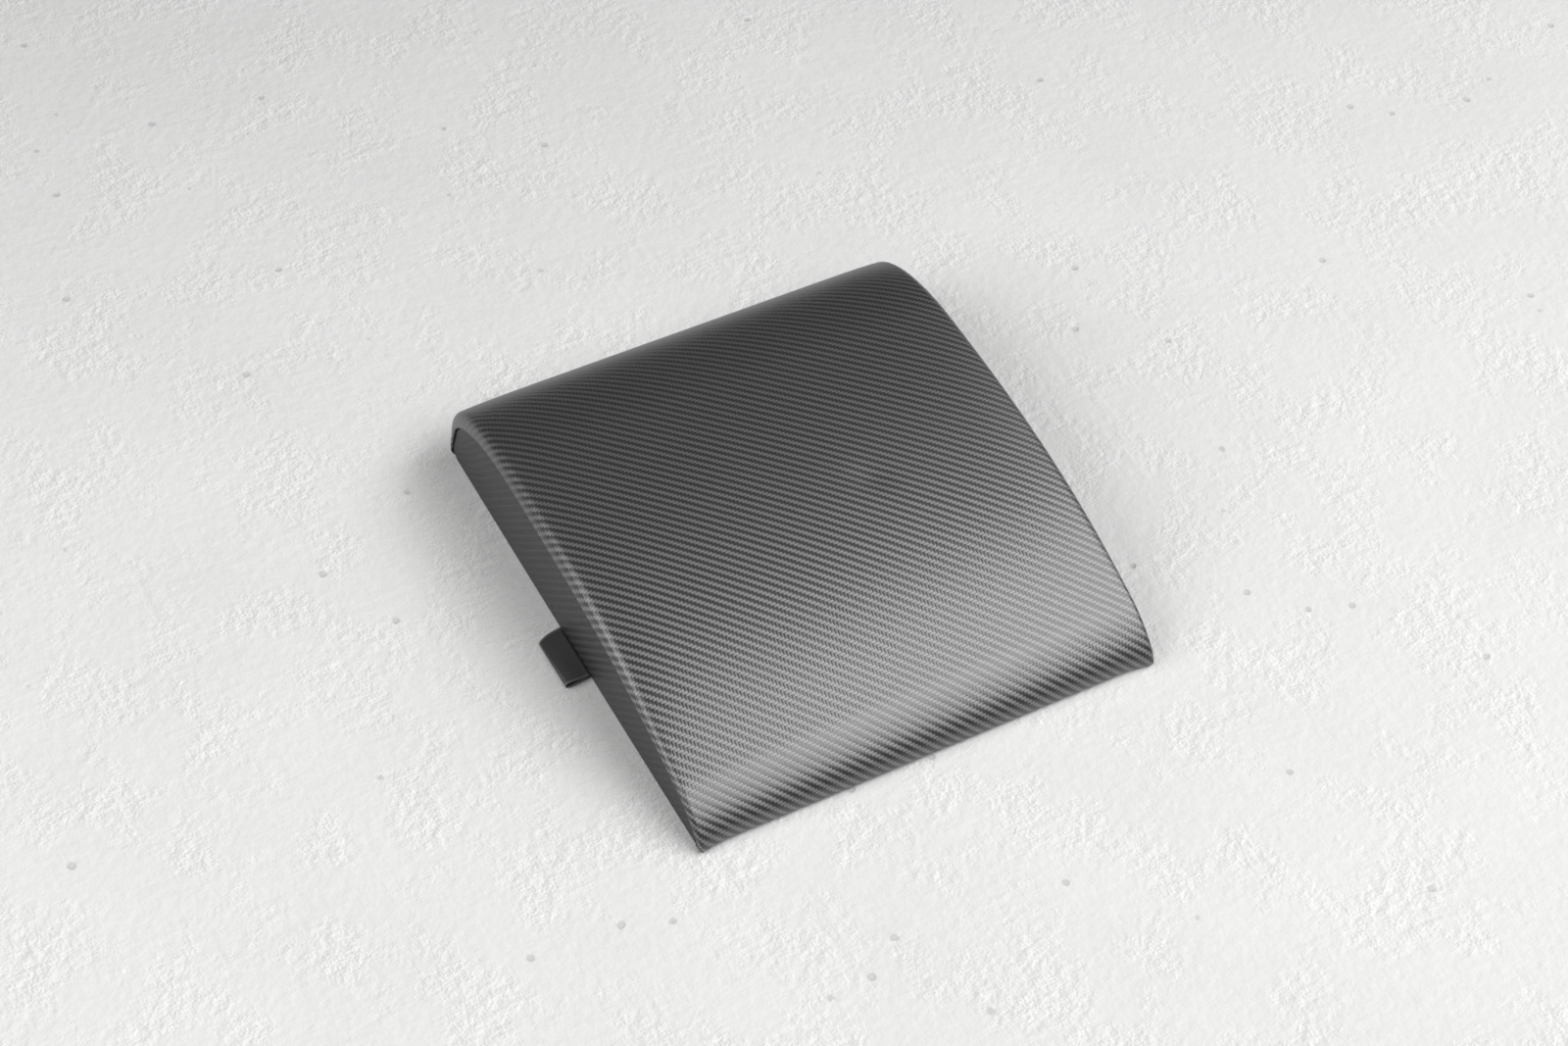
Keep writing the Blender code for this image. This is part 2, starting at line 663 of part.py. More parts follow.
def end_tabs(material, collection):
    """The tabs that close the opening between the zip's ends and the side panels."""
    heights = (OPENING_TOP - LAYER_GAP, ZIP_HEIGHT, OPENING_BOTTOM + LAYER_GAP)
    stations = [rear_face_station(z) for z in heights]
    right = [(END_TAB_START, 0.0)] + rolled_edge()
    left = [(-x, depth) for x, depth in reversed(right)]
    sheet("zip_end_tab_right", stations, right, SHEET_THICKNESS, material, collection)
    sheet("zip_end_tab_left", stations, left, SHEET_THICKNESS, material, collection)


def slider_channel(name, depth_from, depth_to, cutters):
    """A cutter for the channel of a slider wing, in which the chain runs."""
    size = (2 * SLIDER_LENGTH, abs(depth_to - depth_from), 2 * (SPINE_OUTER + LAYER_GAP))
    centre = (SLIDER_REST_X, HALF_LENGTH - (depth_from + depth_to) / 2, ZIP_HEIGHT)
    return box_object(name, size, centre, cutters)


def slider_wing(name, plate_depth, flange_depth, material, collection, cutters):
    """A wing of the slider: a plate with a flange along each side of its channel."""
    outward = math.copysign(1.0, flange_depth - plate_depth)
    back = plate_depth - outward * WING_THICKNESS
    shield = rounded_box(
        SLIDER_LENGTH / 2,
        SLIDER_NOSE_WIDTH / 2,
        SLIDER_CORNER_RADIUS,
        tail_half_v=SLIDER_TAIL_WIDTH / 2,
    )
    mesh = flat_solid(name, [shield], abs(flange_depth - back), collection)
    face_the_rear(mesh, 0.0, (flange_depth + back) / 2, ZIP_HEIGHT)
    mesh.transform(Matrix.Translation((SLIDER_REST_X, 0, 0)))
    wing = add_object(name, mesh, material, collection)
    run_out = flange_depth + outward * WING_THICKNESS
    cut_with(wing, slider_channel(f"{name}_channel", plate_depth, run_out, cutters))
    return wing


def bail_mesh(collection):
    """The arch over the outer wing in which the pull turns, with its feet sunk in the wing."""
    half = BAIL_OPENING_LENGTH / 2
    outer = half + BAIL_WALL
    top = BAIL_OPENING_HEIGHT + BAIL_WALL
    bend = BAIL_BEND
    arch = [
        (-outer, -BAIL_EMBED),
        (-half, -BAIL_EMBED),
        (-half, BAIL_OPENING_HEIGHT - bend / 2),
        (-half + bend / 2, BAIL_OPENING_HEIGHT),
        (half - bend / 2, BAIL_OPENING_HEIGHT),
        (half, BAIL_OPENING_HEIGHT - bend / 2),
        (half, -BAIL_EMBED),
        (outer, -BAIL_EMBED),
    ]
    for step in range(CORNER_STEPS + 1):
        angle = math.radians(90) * step / CORNER_STEPS
        arch.append((outer - bend + bend * math.cos(angle), top - bend + bend * math.sin(angle)))
    for step in range(CORNER_STEPS + 1):
        angle = math.radians(90) * (1 + step / CORNER_STEPS)
        arch.append((-outer + bend + bend * math.cos(angle), top - bend + bend * math.sin(angle)))
    return flat_solid("bail", [arch], BAIL_WIDTH, collection)


def zip_slider(material, collection, cutters):
    """The slider's outer wing with its bail, and its inner wing behind the chain."""
    outer_flange = UNDER_SHEET - FLANGE_GAP
    inner_flange = UNDER_SHEET + TAPE_THICKNESS + FLANGE_GAP
    wing = slider_wing("zip_slider", OUTER_WING_DEPTH, outer_flange, material, collection, cutters)
    slider_wing("zip_slider_back", INNER_WING_DEPTH, inner_flange, material, collection, cutters)
    mesh = bail_mesh(collection)
    plate_y = HALF_LENGTH - OUTER_WING_DEPTH + WING_THICKNESS
    mesh.transform(Matrix.Translation((SLIDER_REST_X, plate_y, ZIP_HEIGHT)))
    cut_with(wing, guide_object("bail", mesh, cutters), "UNION")


def zip_pull(material, collection):
    """The pull tab, its end bar on the hinge axis and the tab lying back over the chain."""
    bar = PULL_THICKNESS / 2
    arms = BAIL_WIDTH / 2 + PULL_WINDOW_GAP
    reach = PULL_LENGTH - bar
    body_u = (reach - bar) / 2
    body = rounded_box(
        (reach + bar) / 2,
        PULL_NECK_WIDTH / 2,
        PULL_THICKNESS / 2,
        centre_u=-body_u,
        tail_half_v=PULL_WIDTH / 2,
    )
    window_u = -(bar + PULL_WINDOW_LENGTH / 2)
    window = rounded_box(PULL_WINDOW_LENGTH / 2, arms, PULL_EDGE_RADIUS, centre_u=window_u)
    grip_u = -(reach - PULL_HOLE_FROM_END - PULL_HOLE_LENGTH / 2)
    grip = rounded_box(PULL_HOLE_LENGTH / 2, PULL_HOLE_WIDTH / 2, PULL_HOLE_WIDTH / 2, centre_u=grip_u)
    mesh = flat_solid("pull", [body, window, grip], PULL_THICKNESS, collection)
    mesh.transform(Matrix.Rotation(math.radians(90), 4, "X"))
    item = add_object("zip_pull", mesh, material, collection)
    edges = item.modifiers.new("soft_edges", "BEVEL")
    edges.width = PULL_EDGE_RADIUS
    edges.segments = 1
    edges.limit_method = "ANGLE"
    edges.angle_limit = SQUARE_ANGLE
    hinge = bpy.data.objects.new("pull_hinge", None)
    collection.objects.link(hinge)
    hinge.location = (SLIDER_REST_X, HALF_LENGTH - PULL_AXIS_DEPTH, ZIP_HEIGHT)
    item.parent = hinge
    shade(item)


def ribbon_path():
    """The (x, z) of the folded ribbon's outer face, from its lower root round the fold and back."""
    root = HALF_WIDTH + LOOP_ROOT_GAP
    tip = HALF_WIDTH + LOOP_REACH
    fold = LOOP_BELLY_SPREAD / 2
    points = []
    for share in RIBBON_SHARES:
        spread = LOOP_ROOT_SPREAD + (LOOP_BELLY_SPREAD - LOOP_ROOT_SPREAD) * smooth(share)
        points.append((root + (tip - fold - root) * share, spread / 2))
    for step in range(1, CORNER_STEPS + 1):
        angle = math.radians(90) * (1 - step / CORNER_STEPS)
        points.append((tip - fold + fold * math.cos(angle), fold * math.sin(angle)))
    lower, upper = [], []
    for x, spread in points:
        height = LOOP_ROOT_HEIGHT - LOOP_SAG * (x - root) / (tip - root)
        lower.append((x, height - spread))
        upper.append((x, height + spread))
    return lower + upper[-2::-1]


def side_loop(material, collection):
    """The folded ribbon that stands out of the left base seam, open at both ends."""
    path = ribbon_path()
    bm = bmesh.new()
    bmesh.ops.create_grid(bm, x_segments=len(path) - 1, y_segments=CORNER_STEPS, size=1.0)
    front = LOOP_FROM_FRONT - HALF_LENGTH
    for vert in bm.verts:
        x, z = path[round((vert.co.x + 1) / 2 * (len(path) - 1))]
        y = front + LOOP_WIDTH * (vert.co.y + 1) / 2
        along = y / HALF_LENGTH
        skew = LOOP_SKEW * (x - HALF_WIDTH) / LOOP_REACH
        vert.co = Vector((-x - SIDE_BOW * (1 - along * along), y - skew, z))
    item = add_object("side_loop", mesh_from(bm, "side_loop"), material, collection)
    thicken(item, LOOP_THICKNESS)


def build():
    """Make the whole mat."""
    for item in list(bpy.data.objects):
        bpy.data.objects.remove(item)
    mat = bpy.data.collections.new("ab_mat")
    cutters = bpy.data.collections.new("cutters")
    bpy.context.scene.collection.children.link(mat)
    bpy.context.scene.collection.children.link(cutters)

    vinyl = make_material("embossed_vinyl", (0.030, 0.030, 0.032), 0.42)
    underside = make_material("non_slip_fabric", (0.018, 0.018, 0.018), 0.85)
    foam = make_material("foam", (0.16, 0.16, 0.17), 0.95)
    ribbon = make_material("ribbon", (0.020, 0.020, 0.021), 0.55)
    tape = make_material("zip_tape", (0.015, 0.015, 0.016), 0.90)
    moulded = make_material("zip_teeth", (0.022, 0.022, 0.023), 0.45)
    metal = make_material("black_metal", (0.035, 0.035, 0.036), 0.35, 0.9)

    wide = wide_columns()
    over = trimmed(top_stations(), FRONT_SEAM_GAP / 2, 0.0)
    under = trimmed(base_stations(), 0.0, FRONT_SEAM_GAP / 2)
    sheet("top_panel", over, wide, SHEET_THICKNESS, vinyl, mat)
    sheet("base_panel", under, wide, SHEET_THICKNESS, underside, mat)
    side_panel("left_side_panel", -1, vinyl, mat)
    side_panel("right_side_panel", 1, vinyl, mat)
    foam_core(foam, mat, cutters)
    side_loop(ribbon, mat)
    zip_tapes(tape, mat)
    zip_chain(mat, cutters, moulded, metal)
    end_tabs(vinyl, mat)
    zip_slider(metal, mat, cutters)
    zip_pull(metal, mat)


build()
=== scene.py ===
"""The looks of the ab mat: a padded wedge in an embossed vinyl cover with a ribbon loop and a zip.

X runs across the mat, Y from the thin front edge to the tall rear, and Z up from the floor.
Lengths are in metres. Run as a script, it builds every piece and the studio round it.
"""

import math

import bmesh
import bpy
import numpy as np
from mathutils import Matrix, Vector, geometry


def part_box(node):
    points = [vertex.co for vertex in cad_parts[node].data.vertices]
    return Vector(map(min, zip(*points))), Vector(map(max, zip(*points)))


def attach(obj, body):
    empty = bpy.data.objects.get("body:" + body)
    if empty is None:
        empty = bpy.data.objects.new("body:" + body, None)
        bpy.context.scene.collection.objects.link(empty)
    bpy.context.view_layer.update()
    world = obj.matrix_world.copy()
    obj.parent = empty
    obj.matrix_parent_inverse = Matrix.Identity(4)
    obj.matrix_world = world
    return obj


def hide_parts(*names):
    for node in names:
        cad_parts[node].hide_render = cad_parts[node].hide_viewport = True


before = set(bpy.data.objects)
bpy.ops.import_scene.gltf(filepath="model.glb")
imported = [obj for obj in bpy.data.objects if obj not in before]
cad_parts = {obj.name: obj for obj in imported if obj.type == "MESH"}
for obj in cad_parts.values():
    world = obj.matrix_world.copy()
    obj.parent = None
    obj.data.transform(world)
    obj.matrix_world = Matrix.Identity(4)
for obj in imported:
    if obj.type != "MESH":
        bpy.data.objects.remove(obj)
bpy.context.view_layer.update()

bl_info = {
    "name": "Ab Mat Looks",
    "version": (1, 0, 0),
    "blender": (4, 5, 0),
    "location": "View3D > Sidebar > Ab Mat",
    "description": "Builds the padded wedge, its sewn vinyl cover, ribbon loop and zip, and a plain studio",
    "category": "Object",
}

TEETH_LOW, TEETH_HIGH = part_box("zip_teeth_upper")
TEETH_ABOVE_ZIP = 0.00085

# The outline between the sizes in the settings: how far each curve's handles reach, and how finely it is read
NOSE_HANDLE_SHARES = (0.40, 0.36)
SLOPE_HANDLE_SHARES = (0.25, 0.52)
DENSE_STEPS = 240
TINY, MERGE_DISTANCE, FILL_CLOSENESS = 1e-9, 1e-6, 1e-7

# How the foam swells the cover over the crest, and the shallow dent near its middle
CROWN_START = 0.022
CROWN_FLATNESS = 12
SAG_SHARE, SAG_POWER = 0.05, 6
DENT_DEPTH, DENT_PLACE = 0.0009, (0.044, -0.019)
DENT_WIDTH, DENT_LENGTH = 0.011, 0.019
ROUND_SHARE = 0.92

# How the sides and the four corners give
WAIST_BULGE = 0.0004
SIDE_BULGE, SIDE_BULGE_REACH = 0.0012, 0.020
REAR_BULGE_LENGTH, REAR_BULGE_START, REAR_BULGE_RISE = 0.050, 0.004, 0.014
EDGE_BULGE_INSET, EDGE_BULGE_WIDTH = 0.008, 0.009
FRONT_CORNER_REACH = 0.022
REAR_CORNER_START, REAR_CORNER_RISE = 0.006, 0.024

# The rolled and tucked edge along the side seams
ROLL_END, ROLL_COUNT = 15, 11
FOLD_RADIUS, FOLD_ANGLES = 0.0008, (-18, -42, -66, -90)
TUCK = 0.0034
FINE_WIDTH, FINE_COUNT = 0.014, 14

# The front hem of the cover's two sheets, turned in by these depths
HEM_GAP = 0.0004
HEM_DEPTHS = (0.002, 0.001)

# The base's side edges, which roll over the seams behind and run inside the side panels under the mat
UNDER_INSET, UNDER_ROUND, UNDER_OUT, UNDER_DEPTH = 0.0022, 0.0048, 0.0006, 0.0016
UNDER_TURN_START, UNDER_TURN = 0.003, 0.010

# The side panels: rows (depth, out) of the edge that turns into the seam, round the top and along the base
PANEL_RIM, PANEL_SPACING, PANEL_ROW_RUN = 0.0052, 0.005, 0.0004
PANEL_ROWS = ((0.0044, 0.0), (0.0041, -0.0002), (0.0039, -0.0006), (0.0038, -0.0012), (0.0038, -0.0022))
PANEL_BASE_ROWS = ((0.0036, 0.0), (0.0018, 0.0), (0.0008, -0.0003), (0.0004, -0.0008), (0.0003, -0.0016))
PANEL_BASE_START, PANEL_BASE_BLEND = 0.008, 0.006
PANEL_BASE_END, PANEL_END_BLEND = 0.0030, 0.004

# The foam as it presses against the cover
FOAM_GRID, FOAM_ROOM, FOAM_LIMIT = 0.005, 0.0012, 0.0012
FOAM_PRESSURE, FOAM_QUALITY, FOAM_FRAMES = 4.0, 6, 20
HELD_SEAM, HELD_BASE, HELD_ENDS = 0.008, 0.004, 0.005

# The zip's tapes and end tabs
TAPE_STEP, TAPE_ROWS, TAB_COLUMNS, TAB_ROWS = 0.003, 9, 8, 7

# The ribbon loop: its mesh, its root in the seam, how its fold closes, and how its outer end leans and waves
RIBBON_COLUMNS, RIBBON_ARC, RIBBON_ROWS = 14, 9, 31
RIBBON_ROOT, RIBBON_ROOT_SPREAD, RIBBON_FLOOR_GAP = 0.0006, 0.0005, 0.0003
RIBBON_CLOSE, RIBBON_OPEN, RIBBON_LIFT = 1.1, 1.15, 0.6
RIBBON_WAVE, RIBBON_WAVES, RIBBON_PHASE, RIBBON_WAVE_START = 0.0003, 2.1, 0.4, 1.4
RIBBON_REAR_LEAN, RIBBON_FRONT_LEAN = 0.0034, 0.0016

# The closing's stitches: rows along the hems and pairs of rows on the end tabs
STITCH_SEED, STITCH_LEAN = 7, 0.05
STITCH_ABOVE, HEM_STITCH, STITCH_STEPS = 0.00012, 0.0026, 120
STITCH_END_GAP, TAB_STITCH_GAP, TAB_STITCH_STEPS = 0.006, 0.0012, 12
TAB_STITCHES = (0.0016, 0.0046)

# The zip's parts that keep the CAD's own meshes
MOULDED_PARTS = ("zip_teeth",)
METAL_PARTS = ("zip_top_stop", "zip_bottom_stop", "zip_slider", "zip_pull")

# The finishes' patterns: pitches, the rubber dots' foot and top, the painted shade at the vinyl's thread edges, and
# where the painted highlight on its threads grows fainter towards the rear
THREAD_DIP, THREAD_EDGE_SHADE, FIBRE_TURN, REAR_HIGHLIGHT_FADE = 0.8, 0.30, 8 * math.tau, (0.17, 0.29)
VINYL_MOTTLE, THREAD_MATT, GRAIN_DEPTH = 0.06, 0.14, 0.00001
DOT_PITCH, DOT_ROW, DOT_FOOT, DOT_TOP, DOT_HEIGHT = 0.0046, 0.0046 * 0.866, 0.0012, 0.0009, 0.0003
FABRIC_PITCH, TAPE_PITCH, RIB_PITCH, WARP_PITCH, RIBBON_EDGE = 0.0006, 0.0005, 0.0004, 0.0003, 0.0015
MARK_SHADOW = (0.0009, -0.0007, 0.0)

# The studio: half the floor's width, and each lamp's name, place, width and height
FLOOR_REACH = 6.0
SENSOR_WIDTH = 36.0
LAMPS = (
    ("key", (1.05, -1.00, 1.98), (2.6, 1.2)),
    ("side", (1.84, 0.48, 1.60), (1.4, 1.4)),
    ("left", (-1.60, 0.05, 1.35), (1.8, 1.4)),
)


# Settings


def metres(name, default, description):
    """A length that a user can change."""
    return bpy.props.FloatProperty(name=name, description=description, default=default, unit="LENGTH")


def factor(name, default, description):
    """A share that a user can change."""
    return bpy.props.FloatProperty(name=name, description=description, default=default, subtype="FACTOR")


def angle(name, default, description):
    """An angle that a user can change, given here in degrees."""
    radians = math.radians(default)
    return bpy.props.FloatProperty(name=name, description=description, default=radians, subtype="ANGLE")


def watts(name, default, description):
    """A lamp's power that a user can change."""
    return bpy.props.FloatProperty(name=name, description=description, default=default, unit="POWER")


def colour(name, default, description):
    """A colour that a user can change."""
    return bpy.props.FloatVectorProperty(name=name, description=description, default=default, subtype="COLOR")


def place(name, default, description):
    """A point in space that a user can change."""
    return bpy.props.FloatVectorProperty(
        name=name, description=description, default=default, subtype="TRANSLATION"
    )


class MatSettings(bpy.types.PropertyGroup):
    """Sizes of the filled cover."""

    width: metres("Width", 0.322, "Width between the side seams")
    length: metres("Length", 0.366, "Length from the front lip to the rear face")
    crest_height: metres("Crest height", 0.0709, "Height of the side seams at the crest")
    crest_from_rear: metres("Crest from rear", 0.0935, "Distance of the crest from the rear")
    shoulder_from_front: metres("Shoulder from front", 0.030, "Where the front nose runs into the slope")
    shoulder_height: metres("Shoulder height", 0.0329, "Height of that place")
    shoulder_slope: angle("Shoulder slope", 21, "Slope at that place")
    front_radius: metres("Front turn", 0.005, "Radius under the front lip")
    rear_radius: metres("Rear turn", 0.006, "Radius under the rear face")
    rear_face: metres("Rear face", 0.0236, "Height of the flat part of the rear face")
    opening_low: metres("Opening bottom", 0.0070, "Lower edge of the zip opening")
    opening_high: metres("Opening top", 0.0190, "Upper edge of the zip opening")
    crown: metres("Crown", 0.0085, "How far the middle swells above the seams")
    gentle_share: factor("Gentle share", 0.40, "Share of the crown that falls away gently to the sides")
    edge_drop: metres("Edge drop", 0.0064, "Width over which the rest of the crown drops to the seams")
    corner_depth: metres("Corner depth", 0.0070, "How far the rear corners draw in")
    corner_bulge: metres("Corner bulge", 0.0004, "How far the rear edges stand out past the side panels")
    corner_pull: metres("Corner pull", 0.0040, "How far the front corners stand out")
    sheet_thickness: metres("Sheet thickness", 0.0010, "Thickness of the vinyl")
    layer_gap: metres("Layer gap", 0.0004, "Gap between sewn layers")
    seam_radius: metres("Seam radius", 0.0034, "Radius of the roll along the side seams")
    step: metres("Grid step", 0.0024, "Size of the cover's mesh faces")


class VinylSettings(bpy.types.PropertyGroup):
    """The embossed vinyl."""

    colour: colour("Colour", (0.027, 0.027, 0.028), "Colour of the vinyl")
    # The cross threads' colour is a painted highlight, paler than the vinyl to stand in for the sheen they catch
    thread_highlight_colour: colour("Thread colour", (0.031, 0.031, 0.032), "Colour of the cross threads")
    pitch_across: metres("Pitch across", 0.0018175, "Pitch of the threads that run along the mat")
    pitch_along: metres("Pitch along", 0.00176, "Pitch of the threads that run across the mat")
    depth: metres("Depth", 0.00008, "Depth of the embossing")
    fibre_depth: metres("Fibre depth", 0.000003, "Depth of the fine lines along each thread")
    roughness: factor("Roughness", 0.31, "Roughness of the vinyl's surface")
    # How much of the painted highlight on the cross threads is left towards the rear, where less light falls
    rear_highlight_share: factor("Rear share", 0.55, "Share of the threads' contrast that is left towards the rear")


class ZipSettings(bpy.types.PropertyGroup):
    """The closing across the rear face."""

    height: metres("Height", (TEETH_LOW.z + TEETH_HIGH.z) / 2 - TEETH_ABOVE_ZIP, "Height of the zip's middle")
    tape_length: metres("Tape length", 0.300, "Length of the woven tapes")
    tape_width: metres("Tape width", 0.012, "Width of each tape")
    tape_thickness: metres("Tape thickness", 0.0006, "Thickness of the tapes")
    tape_edge: metres("Tape edge", 0.0022, "Distance of each tape's edge from the zip's middle")
    tab_start: metres("Tab start", 0.1345, "Distance of the end tabs from the middle")
    colour: colour("Tape colour", (0.014, 0.014, 0.015), "Colour of the tapes")
    metal_colour: colour("Metal colour", (0.030, 0.030, 0.031), "Colour of the painted metal")


class LoopSettings(bpy.types.PropertyGroup):
    """The folded ribbon on the left side."""

    width: metres("Width", 0.0440, "Width of the ribbon")
    from_front: metres("From front", 0.1510, "Distance of its front edge from the front lip")
    reach: metres("Reach", 0.0185, "How far it stands out of the seam")
    skew: metres("Skew", 0.0030, "How far its outer end leans to the front")
    thickness: metres("Thickness", 0.0006, "Thickness of the ribbon")
    height: metres("Height", 0.0026, "Height of its middle over the floor")
    front_spread: metres("Front opening", 0.0023, "Half of the gap between the layers at its front end")
    rear_spread: metres("Rear opening", 0.0011, "Half of the gap between the layers at its rear end")
    colour: colour("Colour", (0.040, 0.040, 0.041), "Colour of the ribbon")


class StitchSettings(bpy.types.PropertyGroup):
    """The sewing along the closing."""

    length: metres("Stitch length", 0.0030, "Length of each stitch")
    gap: metres("Stitch gap", 0.0006, "Gap between stitches")
    thread: metres("Thread", 0.0006, "Thickness of the thread")
    colour: colour("Thread colour", (0.030, 0.030, 0.031), "Colour of the thread")


class StageSettings(bpy.types.PropertyGroup):
    """The floor, lights and camera."""

    floor_colour: colour("Floor colour", (0.735, 0.735, 0.73), "Colour of the concrete")
    key_power: watts("Key light", 57.0, "Power of the wide overhead light")
    side_power: watts("Side light", 7.0, "Power of the light on the right")
    left_power: watts("Left light", 28.0, "Power of the light on the left")
    world_strength: factor("World", 0.06, "Strength of the even light from all round")
    lens: bpy.props.FloatProperty(
        name="Lens", description="Focal length on a 36 mm sensor", default=73.378, unit="CAMERA"
    )
    roll: angle("Roll", 2.343, "Turn of the camera about its own view")
    camera_at: place("Camera place", (-0.6789669, -1.17214684, 1.58522976), "Where the camera stands")
    looks_at: place("Camera target", (0.00818237, 0.02773349, 0.0), "What the camera looks at")


# Curves and surfaces


def arc_points(centre, radii, start, end, count=DENSE_STEPS):
    """Points round an arc or a part of an ellipse, its angles in degrees from +Y towards +Z."""
    angles = np.radians(np.linspace(start, end, count))
    return np.stack([centre[0] + radii[0] * np.cos(angles), centre[1] + radii[1] * np.sin(angles)], 1)


def cubic_points(start, start_handle, end_handle, end, count=DENSE_STEPS):
    """Points along a cubic curve."""
    t = np.linspace(0, 1, count)[:, None]
    u = 1 - t
    p0, p1, p2, p3 = (np.array(p) for p in (start, start_handle, end_handle, end))
    return u**3 * p0 + 3 * u * u * t * p1 + 3 * u * t * t * p2 + t**3 * p3


class Path:
    """A line in the Y-Z plane that is read by its length."""

    def __init__(self, *pieces):
        points = np.vstack(pieces)
        steps = np.hypot(*np.diff(points, axis=0).T)
        points = points[np.concatenate([[True], steps > TINY])]
        steps = np.hypot(*np.diff(points, axis=0).T)
        self.points = points
        self.s = np.concatenate([[0], np.cumsum(steps)])
        self.length = self.s[-1]
        tangents = np.gradient(points, self.s, axis=0)
        tangents /= np.linalg.norm(tangents, axis=1)[:, None]
        self.normals = np.stack([-tangents[:, 1], tangents[:, 0]], 1)

    def at(self, s):
        """Points and outward normals at lengths along the line, run on straight past its ends."""
        s = np.asarray(s, float)
        inside = np.clip(s, 0, self.length)
        point = np.stack([np.interp(inside, self.s, self.points[:, i]) for i in (0, 1)], -1)
        normal = np.stack([np.interp(inside, self.s, self.normals[:, i]) for i in (0, 1)], -1)
        normal /= np.linalg.norm(normal, axis=-1)[..., None]
        tangent = np.stack([normal[..., 1], -normal[..., 0]], -1)
        return point + tangent * (s - inside)[..., None], normal


def top_path(mat):
    """From the front seam over the crest to the top of the zip opening."""
    half, front, rise = mat.length / 2, mat.front_radius, mat.shoulder_height - mat.front_radius
    heading = np.array([math.cos(mat.shoulder_slope), math.sin(mat.shoulder_slope)])
    lip = np.array([-half, front])
    shoulder = np.array([mat.shoulder_from_front - half, mat.shoulder_height])
    crest = np.array([half - mat.crest_from_rear, mat.crest_height])
    run = crest[0] - shoulder[0]
    lip_reach, shoulder_reach = NOSE_HANDLE_SHARES
    nose = cubic_points(
        lip, lip + (0, lip_reach * rise), shoulder - heading * shoulder_reach * mat.shoulder_from_front, shoulder
    )
    low_reach, high_reach = SLOPE_HANDLE_SHARES
    slope = cubic_points(shoulder, shoulder + heading * low_reach * run, crest - (high_reach * run, 0), crest)
    rear = arc_points((crest[0], mat.rear_face), (mat.crest_from_rear, mat.crest_height - mat.rear_face), 90, 0)
    lip_turn = arc_points((front - half, front), (front, front), 225, 180)
    return Path(lip_turn, nose, slope, rear, [(half, mat.opening_high)])


def base_path(mat):
    """From the bottom of the zip opening under the mat to the front seam."""
    half, front, rear = mat.length / 2, mat.front_radius, mat.rear_radius
    return Path(
        [(half, mat.opening_low)],
        arc_points((half - rear, rear), (rear, rear), 0, -90),
        [(0.0, 0.0)],
        arc_points((front - half, front), (front, front), 270, 225),
    )


def ease(share):
    """A share from 0 to 1 with level ends."""
    share = np.clip(share, 0, 1)
    return share * share * (3 - 2 * share)


def fade(share):
    """1 at a place and 0 at its reach."""
    return np.clip(1 - np.abs(share), 0, 1) ** 2


def roll_centre(mat):
    """How far from the middle the round of the rolled seams has its centre."""
    return mat.width / 2 - mat.seam_radius + mat.sheet_thickness + mat.layer_gap


def swell(points, mat, far_out):
    """Where points of the flat-sided cover lie once the foam fills it.

    far_out is how far from the middle each point counts, which is more than its x where an edge is tucked in.
    """
    x, y, z = points[..., 0], points[..., 1], points[..., 2]
    half, half_length, inner = mat.width / 2, mat.length / 2, roll_centre(mat)
    across = np.clip(np.abs(x) / inner, 0, 1)
    gentle = np.clip(far_out / inner, 0, 1) ** CROWN_FLATNESS
    drop = mat.gentle_share * gentle + (1 - mat.gentle_share) * edge_round(far_out, mat)
    dent_x, dent_y = x - DENT_PLACE[0], y - DENT_PLACE[1]
    dent = DENT_DEPTH * np.exp(-(((dent_x + dent_y) / DENT_WIDTH) ** 2) - ((dent_x - dent_y) / DENT_LENGTH) ** 2)
    rise = ease((z - CROWN_START) / (mat.crest_height - CROWN_START))
    lift = (mat.crown * (1 - SAG_SHARE * across**SAG_POWER) * (1 - drop) - dent) * rise

    outline = top_path(mat).points
    level = np.clip(z / np.interp(y, outline[:, 0], outline[:, 1]), 0, 1)
    along = np.clip(1 - (y / half_length) ** 2, 0, None)
    edge = ease((np.abs(x) - half + SIDE_BULGE_REACH) / SIDE_BULGE_REACH)
    rear = ease((y - half_length + REAR_BULGE_LENGTH) / REAR_BULGE_LENGTH)
    rear = rear * ease((z - REAR_BULGE_START) / REAR_BULGE_RISE)
    out = WAIST_BULGE * across * along + SIDE_BULGE * 4 * level * (1 - level) * edge * along
    rolled = ease((far_out - half + EDGE_BULGE_INSET) / EDGE_BULGE_WIDTH) * (far_out < mat.width)
    out = out + mat.corner_bulge * rear * rolled

    corner = [fade(gap / FRONT_CORNER_REACH) for gap in (half - np.abs(x), y + half_length, z)]
    pull = corner[0] * corner[1] * corner[2]
    return soften(np.stack([x + np.sign(x) * out, y - mat.corner_pull * pull, z + lift], -1), mat, far_out)


def edge_round(far_out, mat):
    """0 across the middle, then a round drop to 1 at the outside of the rolled edge."""
    edge = roll_columns(mat, tuck=False)[-1][0]
    share = ROUND_SHARE * np.clip((far_out - edge + mat.edge_drop) / mat.edge_drop, 0, 1)
    return (1 - np.sqrt(1 - share * share)) / (1 - math.sqrt(1 - ROUND_SHARE**2))


